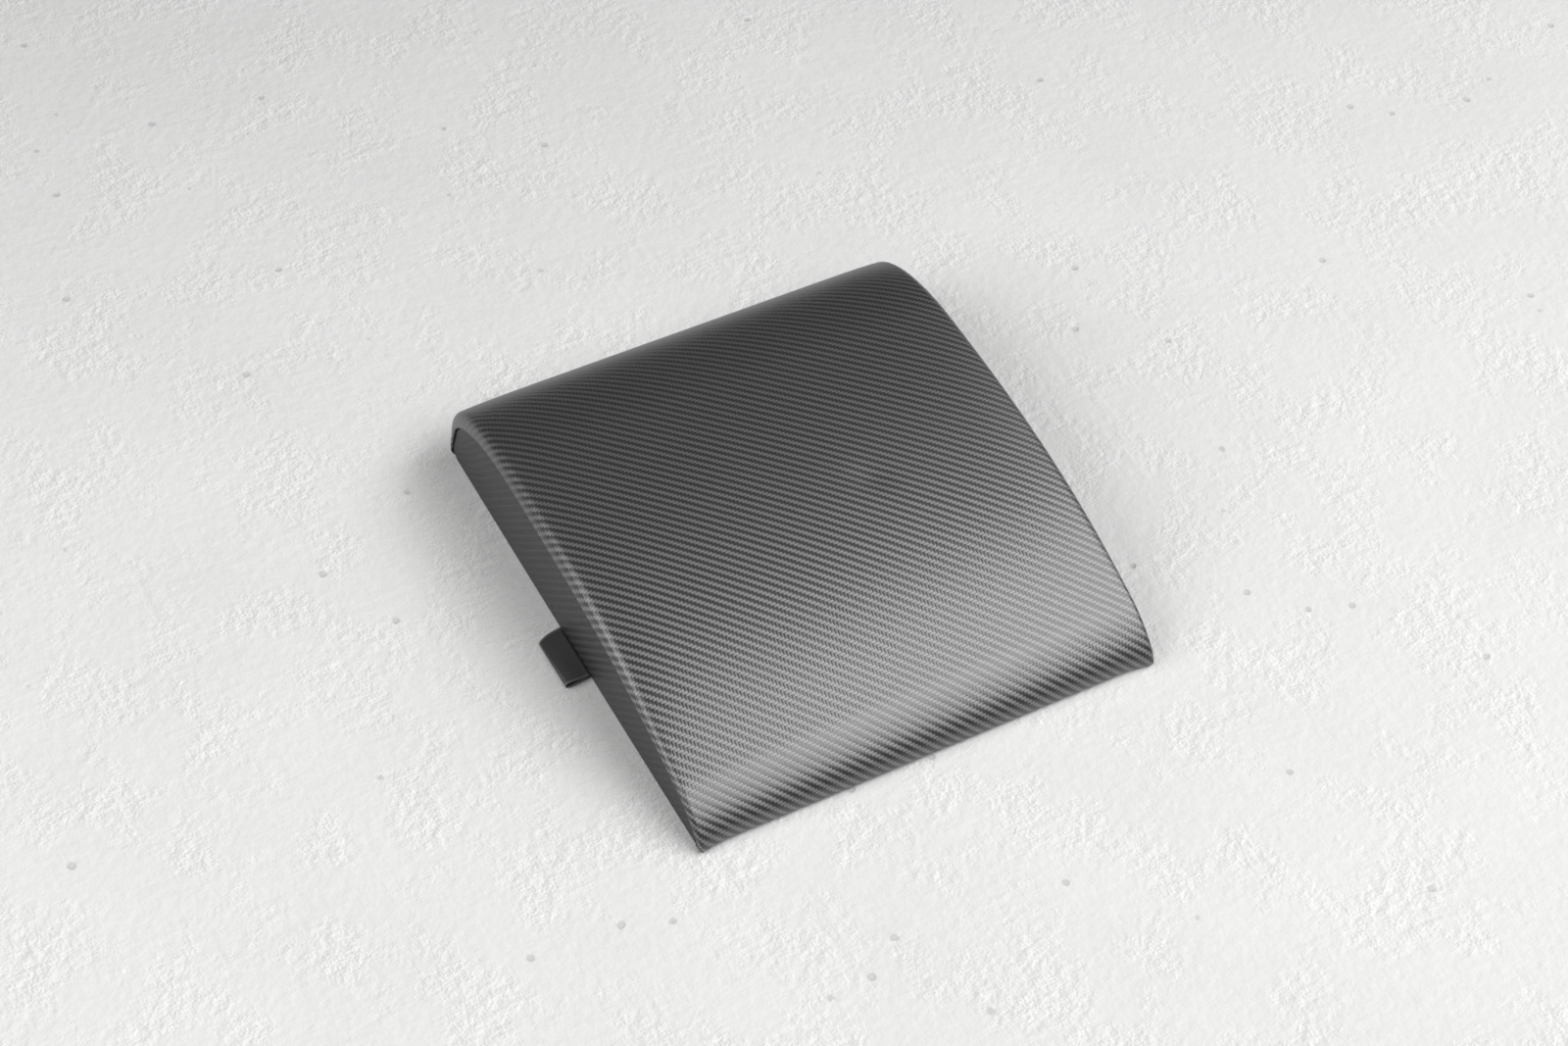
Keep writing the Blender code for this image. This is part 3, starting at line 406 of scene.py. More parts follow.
def soften(points, mat, far_out):
    """Draw the rear corners in, where the cover rolls over to its sides."""
    x, y, z = points[..., 0], points[..., 1], points[..., 2]
    crest_rise = mat.crest_height - mat.rear_face
    back = np.clip((y - mat.length / 2 + mat.crest_from_rear) / mat.crest_from_rear, 0, None)
    high = np.clip((z - mat.rear_face) / crest_rise, 0, None)
    out_y, out_z = back / mat.crest_from_rear, high / crest_rise
    size = np.sqrt(out_y**2 + out_z**2) + TINY
    level = np.clip(np.hypot(back, high), 0, 1) ** 2
    depth = mat.corner_depth * edge_round(far_out, mat) * level * out_y / size
    depth = depth * ease((z - REAR_CORNER_START) / REAR_CORNER_RISE)
    return np.stack([x, y - depth * out_y / size, z - depth * out_z / size], -1)


def roll_columns(mat, tuck=True):
    """Columns (x, depth) of a sheet's right edge, rolled over the seam and tucked into it."""
    radius, centre = mat.seam_radius, roll_centre(mat)
    columns = [
        (centre + radius * math.cos(turn), radius * (1 - math.sin(turn)))
        for turn in np.radians(np.linspace(90, ROLL_END, ROLL_COUNT))
    ]
    if tuck:
        reach, end = radius - FOLD_RADIUS, math.radians(ROLL_END)
        fold_x, fold_depth = centre + reach * math.cos(end), radius - reach * math.sin(end)
        for turn in np.radians(FOLD_ANGLES):
            columns.append((fold_x + FOLD_RADIUS * math.cos(turn), fold_depth - FOLD_RADIUS * math.sin(turn)))
        columns.append((fold_x - TUCK, fold_depth + FOLD_RADIUS))
    return columns


def wide_columns(mat):
    """Columns (x, depth) across the whole mat, closer together towards its rolled edges."""
    roll = roll_columns(mat)
    fine_start = roll[0][0] - FINE_WIDTH
    count = round(fine_start / mat.step)
    half = [(fine_start * i / count, 0.0) for i in range(count)]
    half += [(fine_start + FINE_WIDTH * i / FINE_COUNT, 0.0) for i in range(FINE_COUNT)] + roll
    return np.array([(-x, depth) for x, depth in reversed(half[1:])] + half)


def under_columns(mat, lengths):
    """Columns (x, depth) of the base for each of its rows.

    They roll over the seams on the rear turn and end just inside the side panels under the mat.
    """
    wide = wide_columns(mat)
    roll_start, reach = roll_columns(mat)[0][0], mat.width / 2 - UNDER_INSET
    past = np.clip((np.abs(wide[:, 0]) - roll_start) / UNDER_ROUND + wide[:, 1] / UNDER_ROUND, 0, 1)
    flat = np.minimum(np.abs(wide[:, 0]), roll_start) * reach / roll_start
    x = np.sign(wide[:, 0]) * (flat + UNDER_OUT * np.sin(past * math.pi / 2))
    narrow = np.column_stack([x, UNDER_DEPTH * past**2])
    turned = 1 - ease((np.asarray(lengths) - UNDER_TURN_START) / UNDER_TURN)[:, None, None]
    return narrow + (wide - narrow) * turned


def grid_mesh(name, points, cloth):
    """A mesh of quads from rows of points, with the cloth's own measure as its UV map."""
    rows, columns = points.shape[:2]
    index = np.arange(rows * columns).reshape(rows, columns)
    quads = np.stack([index[:-1, :-1], index[:-1, 1:], index[1:, 1:], index[1:, :-1]], -1).reshape(-1, 4)
    mesh = bpy.data.meshes.new(name)
    mesh.from_pydata(points.reshape(-1, 3).tolist(), [], quads.tolist())
    layer = mesh.uv_layers.new(name="cloth")
    layer.uv.foreach_set("vector", cloth.reshape(-1, 2)[quads.ravel()].astype(np.float32).ravel())
    mesh.shade_smooth()
    return mesh


def measures(across, along):
    """Each grid point's place on the flat cloth."""
    return np.stack(np.broadcast_arrays(across[None, :], along[:, None]), -1)


def run_along(line):
    """How far along a line of points each point is."""
    return np.concatenate([[0], np.cumsum(np.hypot(*np.diff(line, axis=0).T))])


def sheet_points(path, lengths, columns, mat, depths=0.0):
    """The filled cover's points at lengths along a path and at columns across it."""
    point, normal = path.at(lengths)
    depth = columns[..., 1] + np.broadcast_to(depths, len(lengths))[:, None]
    y = point[:, None, 0] - depth * normal[:, None, 0]
    z = point[:, None, 1] - depth * normal[:, None, 1]
    x = np.broadcast_to(columns[..., 0], y.shape)
    return swell(np.stack([x, y, z], -1), mat, np.apply_along_axis(farthest, -1, x))


def farthest(x):
    """How far from the middle each column lies, or where an edge is tucked in, how far out its roll goes."""
    far = np.abs(x)
    middle = int(np.argmin(far))
    left, right = far[middle::-1], far[middle:]
    return np.concatenate([np.maximum.accumulate(left)[::-1], np.maximum.accumulate(right)[1:]])


def cloth_widths(points):
    """The cloth's own measure across a sheet, taken along its rows and counted from its middle column."""
    steps = np.linalg.norm(np.diff(points, axis=1), axis=2).mean(0)
    run = np.concatenate([[0], np.cumsum(steps)])
    return run - run[len(run) // 2]


# Pieces


def add_object(name, data):
    """Put an object in the scene."""
    item = bpy.data.objects.new(name, data)
    bpy.context.scene.collection.objects.link(item)
    return item


def make_piece(item, material, slot, *replaced):
    """Make an object a piece of the mat, in place of CAD nodes where it stands for some."""
    item.data.materials.clear()
    item.data.materials.append(material)
    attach(item, "mat")
    if replaced:
        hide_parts(*replaced)


def make_sheet(name, mesh, material, slot, replaced, thickness, held="stretched", under="foam", **cut):
    """Make a mesh a sheet of the mat. Its thickness lies all inward."""
    item = add_object(name, mesh)
    make_piece(item, material, slot, replaced)
    wall = item.modifiers.new("thickness", "SOLIDIFY")
    wall.thickness = thickness
    wall.offset = -1.0


def cover_sheet(name, path, lengths, columns, depths, mat, material, slot, replaced):
    """Make one of the cover's two sheets that run the length of the mat."""
    points = sheet_points(path, lengths, columns, mat, depths)
    widths = cloth_widths(points)
    mesh = grid_mesh(name, points, measures(widths, lengths))
    flat = (2 * widths[-1], path.length + max(HEM_DEPTHS))
    make_sheet(name, mesh, material, slot, replaced, mat.sheet_thickness, flat=flat)


def evaluated(item):
    """An object as its modifiers make it."""
    return item.evaluated_get(bpy.context.evaluated_depsgraph_get())


def apply_modifiers(item):
    """Turn an object's modifiers into its plain mesh."""
    mesh = bpy.data.meshes.new_from_object(evaluated(item))
    item.modifiers.clear()
    item.data = mesh


def read_rows(mesh, what="co"):
    """A mesh's points or normals as rows."""
    rows = np.zeros(len(mesh.vertices) * 3, np.float32)
    mesh.vertices.foreach_get(what, rows)
    return rows.reshape(-1, 3)


def write_points(mesh, points):
    """Put a mesh's points where rows say."""
    mesh.vertices.foreach_set("co", points.astype(np.float32).ravel())
    mesh.update()


def settled_foam(mat):
    """The foam after it has pressed against its cover."""
    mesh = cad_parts["foam_core"].data.copy()
    bm = bmesh.new()
    bm.from_mesh(mesh)
    bmesh.ops.remove_doubles(bm, verts=bm.verts, dist=MERGE_DISTANCE)
    bm.to_mesh(mesh)
    bm.free()
    item = add_object("foam", mesh)
    remesh = item.modifiers.new("remesh", "REMESH")
    remesh.mode = "VOXEL"
    remesh.voxel_size = FOAM_GRID
    apply_modifiers(item)
    mesh = item.data
    start = read_rows(mesh).astype(float) - read_rows(mesh, "normal") * FOAM_ROOM
    start = soften(start, mat, np.abs(start[:, 0]))
    write_points(mesh, start)
    write_points(mesh, start + pressed_out(item, start, mat))
    return item


def pressed_out(item, start, mat):
    """How far each point of the foam moves while the cover holds its seams, base and ends."""
    held = item.vertex_groups.new(name="held")
    outline = top_path(mat).points
    for i, (x, y, z) in enumerate(start):
        below_seam = abs(z - np.interp(y, outline[:, 0], outline[:, 1]))
        at_seam = abs(abs(x) - mat.width / 2) < HELD_SEAM and below_seam < HELD_SEAM
        at_end = abs(y) > mat.length / 2 - HELD_ENDS and z < mat.rear_face
        if z < HELD_BASE or at_seam or at_end:
            held.add([i], 1.0, "REPLACE")
    cloth = item.modifiers.new("cloth", "CLOTH")
    cloth.settings.use_pressure = True
    cloth.settings.uniform_pressure_force = FOAM_PRESSURE
    cloth.settings.vertex_group_mass = "held"
    cloth.settings.quality = FOAM_QUALITY
    cloth.settings.effector_weights.gravity = 0.0
    cloth.point_cache.frame_start = 1
    cloth.point_cache.frame_end = FOAM_FRAMES
    for number in range(1, FOAM_FRAMES + 1):
        bpy.context.scene.frame_set(number)
    moved = read_rows(evaluated(item).data) - start
    item.modifiers.clear()
    item.vertex_groups.clear()
    bpy.context.scene.frame_set(1)
    far = np.linalg.norm(moved, axis=1)
    return moved * (np.minimum(far, FOAM_LIMIT) / np.maximum(far, TINY))[:, None]


def inside(point, ring):
    """Whether a point lies within a closed line of points."""
    y, z = point
    a, b = ring, np.roll(ring, -1, axis=0)
    crosses = (a[:, 1] > z) != (b[:, 1] > z)
    at = a[:, 0] + (z - a[:, 1]) * (b[:, 0] - a[:, 0]) / np.where(b[:, 1] == a[:, 1], TINY, b[:, 1] - a[:, 1])
    return bool(np.count_nonzero(crosses & (y < at)) % 2)


def filled(ring):
    """Points and triangles that fill a closed line evenly. The line's own points come first."""
    low, high = ring.min(0), ring.max(0)
    edge = [Vector(p) for p in ring]
    even = [
        Vector((y, z))
        for y in np.arange(low[0] + PANEL_SPACING, high[0], PANEL_SPACING)
        for z in np.arange(low[1] + PANEL_SPACING, high[1], PANEL_SPACING)
    ]
    kept = [p for p in even if inside(p, ring) and min((p - q).length for q in edge) > PANEL_SPACING / 2]
    verts, _, faces, *_ = geometry.delaunay_2d_cdt(edge + kept, [], [list(range(len(ring)))], 1, FILL_CLOSENESS)
    return np.array([tuple(v) for v in verts]), [list(f) for f in faces]


def panel_mesh(name, side, mat):
    """A side panel with its edge turned into the seam all round, its height and length, and its area."""
    half, top = mat.width / 2, top_path(mat)
    path = Path(top.points, base_path(mat).points)
    count = round(path.length / mat.step)
    lengths = np.arange(count) * path.length / count
    outline, normal = path.at(lengths)
    ring = outline - PANEL_RIM * normal
    face, faces = filled(ring)
    points, cloth = [np.column_stack([np.full(len(face), half), face])], [face]

    base_start = top.length + mat.opening_high - mat.opening_low + PANEL_BASE_START
    under = ease((lengths - base_start) / PANEL_BASE_BLEND)
    under = under * ease((path.length - PANEL_BASE_END - lengths) / PANEL_END_BLEND)
    before, travelled, start = PANEL_RIM, 0.0, 0
    for row, ((depth, out), (base_depth, base_out)) in enumerate(zip(PANEL_ROWS, PANEL_BASE_ROWS)):
        travelled += math.hypot(before - depth, PANEL_ROW_RUN)
        before = depth
        moved = outline - (depth + (base_depth - depth) * under)[:, None] * normal
        points.append(np.column_stack([half + out + (base_out - out) * under, moved]))
        cloth.append(ring + normal * travelled)
        end = len(face) + row * count
        for i in range(count):
            j = (i + 1) % count
            faces.append([start + i, start + j, end + j, end + i])
        start = end
    points = np.vstack(points) * (side, 1, 1)

    mesh = bpy.data.meshes.new(name)
    mesh.from_pydata(swell(points, mat, np.full(len(points), mat.width)).tolist(), [], faces)
    bm = bmesh.new()
    bm.from_mesh(mesh)
    bmesh.ops.recalc_face_normals(bm, faces=bm.faces)
    if max(bm.faces, key=lambda f: f.calc_area()).normal.x * side < 0:
        bmesh.ops.reverse_faces(bm, faces=bm.faces)
    layer = bm.loops.layers.uv.new("cloth")
    cloth = np.vstack(cloth)
    for corner in (loop for f in bm.faces for loop in f.loops):
        y, z = cloth[corner.vert.index]
        corner[layer].uv = (z, -side * y)
    bm.to_mesh(mesh)
    bm.free()
    mesh.shade_smooth()
    length, height = (float(size) for size in outline.max(0) - outline.min(0))
    after = np.roll(outline, -1, axis=0)
    area = 0.5 * abs(np.dot(outline[:, 0], after[:, 1]) - np.dot(outline[:, 1], after[:, 0]))
    return mesh, (height, length), float(area)


def ribbon_grid(mat, loop):
    """Rows of points along the folded ribbon, each row's share of its width, and the run of its cloth."""
    half_length = mat.length / 2
    root, tip = mat.width / 2 + RIBBON_ROOT, mat.width / 2 + loop.reach
    straight = np.linspace(0, 1, RIBBON_COLUMNS)
    turn = np.radians(np.linspace(90, 0, RIBBON_ARC))[1:]
    shares = np.linspace(0, 1, RIBBON_ROWS)
    rows, runs = [], []
    for share in shares:
        fold = loop.front_spread + (loop.rear_spread - loop.front_spread) * ease(share * RIBBON_CLOSE)
        x = np.concatenate([root + (tip - fold - root) * straight, tip - fold + fold * np.cos(turn)])
        spread = RIBBON_ROOT_SPREAD + (fold - RIBBON_ROOT_SPREAD) * ease(straight * RIBBON_OPEN)
        spread = np.concatenate([spread, fold * np.sin(turn)])
        height = loop.height + (fold - loop.rear_spread) * RIBBON_LIFT
        line = np.vstack([np.column_stack([x, height - spread]), np.column_stack([x, height + spread])[-2::-1]])
        out = np.clip((line[:, 0] - root) / (tip - root), 0, 1)
        wave = RIBBON_WAVE * math.sin(share * RIBBON_WAVES * math.pi + RIBBON_PHASE) * ease(out * RIBBON_WAVE_START)
        upper = np.arange(len(line)) >= len(x)
        y = loop.from_front - half_length + share * loop.width - loop.skew * out
        y = y - RIBBON_REAR_LEAN * out**3 * share**5 + RIBBON_FRONT_LEAN * out**2 * (1 - share) ** 4
        bow = WAIST_BULGE * np.clip(1 - (y / half_length) ** 2, 0, None)
        z = np.maximum(line[:, 1] + wave * upper, RIBBON_FLOOR_GAP)
        rows.append(np.column_stack([-line[:, 0] - bow, y, z]))
        runs.append(run_along(line))
    return np.array(rows), shares, np.mean(runs, axis=0)


def stitch_tree():
    """A node tree that lays stitches of one length along curves."""
    tree = bpy.data.node_groups.new("stitches", "GeometryNodeTree")
    tree.interface.new_socket("Geometry", in_out="INPUT", socket_type="NodeSocketGeometry")
    kinds = {"Stitch length": "Float", "Gap": "Float", "Thread": "Float", "Seed": "Int", "Material": "Material"}
    for label, kind in kinds.items():
        tree.interface.new_socket(label, in_out="INPUT", socket_type=f"NodeSocket{kind}")
    tree.interface.new_socket("Geometry", in_out="OUTPUT", socket_type="NodeSocketGeometry")
    given = {s.name: Wire(tree, s) for s in tree.nodes.new("NodeGroupInput").outputs if s.name}
    length, thread = given["Stitch length"], given["Thread"]
    row = {"Curve": given["Geometry"], "Length": length + given["Gap"]}
    spaced = add_node(tree, "GeometryNodeResampleCurve", {"mode": "LENGTH"}, row)
    along = add_node(tree, "GeometryNodeInputTangent")
    turned = add_node(tree, "FunctionNodeAlignRotationToVector", {"axis": "X"}, {"Vector": along})
    leans = {2: -STITCH_LEAN, 3: STITCH_LEAN, "Seed": given["Seed"]}
    lean = add_node(tree, "FunctionNodeRandomValue", {"data_type": "FLOAT"}, leans, 1)
    lean_all = add_node(tree, "ShaderNodeCombineXYZ", inputs={1: lean, 2: lean})
    rotation = add_node(tree, "FunctionNodeRotateRotation", {"rotation_space": "LOCAL"}, {0: turned, 1: lean_all})
    ball = add_node(tree, "GeometryNodeMeshUVSphere", inputs={"Segments": 8, "Rings": 6, "Radius": 0.5})
    scale = add_node(tree, "ShaderNodeCombineXYZ", inputs={0: length, 1: thread, 2: thread})
    stitch = {"Points": spaced, "Instance": ball, "Rotation": rotation, "Scale": scale}
    placed = add_node(tree, "GeometryNodeInstanceOnPoints", inputs=stitch)
    solid = add_node(tree, "GeometryNodeRealizeInstances", inputs={"Geometry": placed})
    smooth = add_node(tree, "GeometryNodeSetShadeSmooth", inputs={"Geometry": solid})
    look = {"Geometry": smooth, "Material": given["Material"]}
    shown = add_node(tree, "GeometryNodeSetMaterial", inputs=look)
    tree.links.new(shown.socket, tree.nodes.new("NodeGroupOutput").inputs[0])
    return tree


def lay_stitches(name, lines, stitch, material):
    """Stitches along lines of points, as one plain mesh."""
    curve = bpy.data.curves.new(name, "CURVE")
    curve.dimensions = "3D"
    for line in lines:
        spline = curve.splines.new("POLY")
        spline.points.add(len(line) - 1)
        for point, at in zip(spline.points, line):
            point.co = (*at, 1.0)
    guide = add_object(f"{name}_guide", curve)
    tree = stitch_tree()
    rows = guide.modifiers.new("stitches", "NODES")
    rows.node_group = tree
    values = {
        "Stitch length": stitch.length,
        "Gap": stitch.gap,
        "Thread": stitch.thread,
        "Seed": STITCH_SEED,
        "Material": material,
    }
    for socket in tree.interface.items_tree:
        if socket.in_out == "INPUT" and socket.name in values:
            rows[socket.identifier] = values[socket.name]
    mesh = bpy.data.meshes.new_from_object(evaluated(guide))
    bpy.data.objects.remove(guide)
    bpy.data.curves.remove(curve)
    make_piece(add_object(name, mesh), material, "zip_tape")


# Shader nodes


def maths(operation):
    """A method that adds a Math node with its own socket first."""
    return lambda wire, *others: wire.math(operation, *others)


class Wire:
    """A socket that takes part in sums, products and comparisons by adding Math nodes."""

    def __init__(self, tree, socket):
        self.tree = tree
        self.socket = socket

    def math(self, operation, *others):
        """A Math node with this socket first."""
        inputs = {0: self, **dict(enumerate(others, 1))}
        return add_node(self.tree, "ShaderNodeMath", {"operation": operation}, inputs)

    def __rsub__(self, other):
        return (self * -1) + other

    __add__ = __radd__ = maths("ADD")
    __mul__ = __rmul__ = maths("MULTIPLY")
    __sub__, __truediv__, __pow__ = maths("SUBTRACT"), maths("DIVIDE"), maths("POWER")
    __lt__, __gt__ = maths("LESS_THAN"), maths("GREATER_THAN")
    floor, part, wrap, sine, size = (maths(name) for name in ("FLOOR", "FRACT", "WRAP", "SINE", "ABSOLUTE"))


def connect(tree, socket, value):
    """Give a socket its value or link."""
    if isinstance(value, Wire):
        tree.links.new(value.socket, socket)
    else:
        socket.default_value = value


def add_node(tree, kind, settings=None, inputs=None, output=0):
    """Add a node, set it up first, then give its sockets values or links, and return an output."""
    node = tree.nodes.new(kind)
    for name, value in (settings or {}).items():
        setattr(node, name, value)
    for key, value in (inputs or {}).items():
        connect(tree, node.inputs[key], value)
    return Wire(tree, node.outputs[output])


def new_material(name):
    """A material and its node tree."""
    material = bpy.data.materials.new(name)
    material.use_nodes = True
    return material, material.node_tree


def finish_shader(material, looks):
    """Give the Principled shader's sockets their values and links, and return its material."""
    tree = material.node_tree
    for name, value in looks.items():
        connect(tree, tree.nodes["Principled BSDF"].inputs[name], value)
    return material


def bump(tree, height):
    """A Bump node over a height in metres."""
    return add_node(tree, "ShaderNodeBump", inputs={"Strength": 1.0, "Distance": 1.0, "Height": height})


def cloth_coordinates(tree):
    """The two measures of a piece's own cloth, in metres."""
    cloth = add_node(tree, "ShaderNodeUVMap", {"uv_map": "cloth"})
    return [add_node(tree, "ShaderNodeSeparateXYZ", inputs={0: cloth}, output=i) for i in (0, 1)]


def on_piece(tree):
    """Where a point lies on its piece."""
    return add_node(tree, "ShaderNodeTexCoord", output="Object")


def noise(tree, scale, detail=3.0, roughness=0.5, at=None):
    """Noise from 0 to 1, which sits on the piece."""
    inputs = {"Vector": at or on_piece(tree), "Scale": scale, "Detail": detail, "Roughness": roughness}
    return add_node(tree, "ShaderNodeTexNoise", inputs=inputs)


def between(tree, value, start, end, first=0.0, last=1.0):
    """A number that runs from first to last while a value runs from start to end."""
    return add_node(tree, "ShaderNodeMapRange", inputs={0: value, 1: start, 2: end, 3: first, 4: last})


def mixed(tree, amount, low, high):
    """A colour between two, by an amount."""
    low, high = (ink if isinstance(ink, Wire) else (*ink, 1.0) for ink in (low, high))
    return add_node(tree, "ShaderNodeMix", {"data_type": "RGBA"}, {0: amount, 6: low, 7: high}, 2)


def toned(ink, times):
    """A colour so many times as bright."""
    return tuple(min(c * times, 1.0) for c in ink)


def twill(across, along, pitch_across, pitch_along):
    """The height of a two-and-two twill from 0 to 1, where its cross threads are on top, and its thread counts."""
    u, v = across / pitch_across, along / pitch_along
    over_u = (u + v.floor()).wrap(4.0, 0.0)
    over_v = (v + u.floor()).wrap(4.0, 0.0)
    cross_on_top = over_u < 2.0
    side_u = u.part() * 2.0 - 1.0
    side_v = v.part() * 2.0 - 1.0
    run_u = over_u - 1.0
    run_v = over_v - 3.0
    cross = (1.0 - side_v * side_v) * (1.0 - run_u * run_u * run_u * run_u * THREAD_DIP)
    lengthwise = (1.0 - side_u * side_u) * (1.0 - run_v * run_v * run_v * run_v * THREAD_DIP)
    return cross * cross_on_top + lengthwise * (1.0 - cross_on_top), cross_on_top, u, v


# Finishes


def embossed_vinyl(name, vinyl, contrast, extra_roughness=0.0, shine=1.0):
    """Black vinyl embossed with a two-and-two twill, whose cross threads are glossier and painted paler as a
    highlight.
    """
    material, tree = new_material(name)
    across, along = cloth_coordinates(tree)
    height, cross, u, v = twill(across, along, vinyl.pitch_across, vinyl.pitch_along)
    fibre = (v * FIBRE_TURN).sine() * cross + (u * FIBRE_TURN).sine() * (1.0 - cross)
    grain, mottle = noise(tree, 900.0), noise(tree, 14.0)
    dark = tuple(vinyl.colour)
    # The cross threads are painted paler than the vinyl, as a highlight
    highlit = tuple(d + (p - d) * contrast for d, p in zip(dark, vinyl.thread_highlight_colour))
    # The painted highlight on the cross threads fades towards the rear, where less light falls
    rear = between(tree, along, *REAR_HIGHLIGHT_FADE, 1.0, vinyl.rear_highlight_share)
    # Painted shade: the highlight mask drops towards each cross thread's edges; the same mask sets their coat
    shown = cross * (THREAD_EDGE_SHADE + height * (1 - THREAD_EDGE_SHADE)) * rear
    least = vinyl.roughness - VINYL_MOTTLE / 2 + extra_roughness
    looks = {
        "Base Color": mixed(tree, shown, dark, highlit),
        "Roughness": mottle * VINYL_MOTTLE + least + cross * THREAD_MATT,
        "Coat Weight": shown * contrast,
        "Coat Roughness": 0.60,
        "Coat IOR": 2.8,
        "Specular IOR Level": shine,
        "Normal": bump(tree, height * vinyl.depth + fibre * vinyl.fibre_depth + grain * GRAIN_DEPTH),
    }
    return finish_shader(material, looks)


def non_slip_fabric():
    """Black woven fabric with rows of small rubber dots."""
    material, tree = new_material("dotted_fabric")
    across, along = cloth_coordinates(tree)
    row = along / DOT_ROW
    beside = ((across / DOT_PITCH + row.floor() * 0.5).part() - 0.5) * DOT_PITCH
    above = (row.part() - 0.5) * DOT_ROW
    dot = between(tree, (beside * beside + above * above) ** 0.5, DOT_FOOT, DOT_TOP)
    weave = twill(across, along, FABRIC_PITCH, FABRIC_PITCH)[0] * 0.7 + noise(tree, 1200.0) * 0.3
    cloth = mixed(tree, weave, (0.010, 0.010, 0.010), (0.024, 0.024, 0.025))
    looks = {
        "Base Color": mixed(tree, dot, cloth, (0.030, 0.030, 0.031)),
        "Roughness": 0.90 - dot * 0.35,
        "Normal": bump(tree, weave * (1.0 - dot) * 0.00008 + dot * DOT_HEIGHT),
    }
    return finish_shader(material, looks)


def open_foam():
    """Open grey foam with small cells."""
    material, tree = new_material("open_foam")
    cells = add_node(tree, "ShaderNodeTexVoronoi", inputs={"Vector": on_piece(tree), "Scale": 900.0})
    looks = {
        "Base Color": mixed(tree, cells, (0.10, 0.10, 0.105), (0.22, 0.22, 0.23)),
        "Roughness": 0.95,
        "Normal": bump(tree, cells * 0.0004),
    }
    return finish_shader(material, looks)


def woven_tape(closing):
    """Black woven tape with a fine herringbone."""
    material, tree = new_material("woven_tape")
    height = twill(*cloth_coordinates(tree), TAPE_PITCH, TAPE_PITCH)[0]
    fuzz = noise(tree, 1500.0)
    looks = {
        "Base Color": mixed(tree, height * 0.7 + fuzz * 0.3, closing.colour, toned(closing.colour, 1.9)),
        "Roughness": 0.88,
        "Sheen Weight": 0.15,
        "Normal": bump(tree, height * 0.00012 + fuzz * 0.00006),
    }
    return finish_shader(material, looks)


def moulded_teeth():
    """Black moulded plastic with a soft shine."""
    material, tree = new_material("moulded_plastic")
    grain = noise(tree, 700.0)
    looks = {
        "Base Color": mixed(tree, grain, (0.016, 0.016, 0.017), (0.026, 0.026, 0.027)),
        "Roughness": grain * 0.15 + 0.32,
        "Normal": bump(tree, grain * 0.00003),
    }
    return finish_shader(material, looks)


def painted_metal(closing):
    """Black painted metal, a little worn to the bare metal on its high spots."""
    material, tree = new_material("painted_metal")
    grain, broad = noise(tree, 600.0, 4.0, 0.6), noise(tree, 120.0, 2.0)
    worn = between(tree, grain * 0.6 + broad * 0.4, 0.66, 0.78)
    looks = {
        "Base Color": mixed(tree, worn * 0.35, closing.metal_colour, (0.32, 0.32, 0.33)),
        "Roughness": grain * 0.14 + 0.26,
        "Metallic": worn * 0.2 + 0.75,
        "Normal": bump(tree, grain * 0.00002),
    }
    return finish_shader(material, looks)


def sewing_thread(stitch):
    """Twisted black thread."""
    material, tree = new_material("sewing_thread")
    grain = noise(tree, 2500.0, 2.0)
    looks = {
        "Base Color": mixed(tree, grain, stitch.colour, toned(stitch.colour, 1.8)),
        "Roughness": 0.6,
        "Normal": bump(tree, grain * 0.00005),
    }
    return finish_shader(material, looks)


def satin_ribbon(loop):
    """Black satin ribbon with fine ribs across it and a firm edge."""
    material, tree = new_material("satin_ribbon")
    across, along = cloth_coordinates(tree)
    ribs = (across * (math.tau / RIB_PITCH)).sine() * 0.5 + 0.5
    warp = (along * (math.tau / WARP_PITCH)).sine() * 0.5 + 0.5
    fuzz = noise(tree, 800.0)
    edge = (along / loop.width * 2.0 - 1.0).size() > 1.0 - 2 * RIBBON_EDGE / loop.width
    looks = {
        "Base Color": mixed(tree, ribs * 0.12 + fuzz * 0.12 + edge * 0.5, loop.colour, toned(loop.colour, 4.0)),
        "Roughness": fuzz * 0.12 + 0.38,
        "Sheen Weight": 0.1,
        "Normal": bump(tree, ribs * 0.00003 + warp * 0.00002 + fuzz * 0.00002),
    }
    return finish_shader(material, looks)


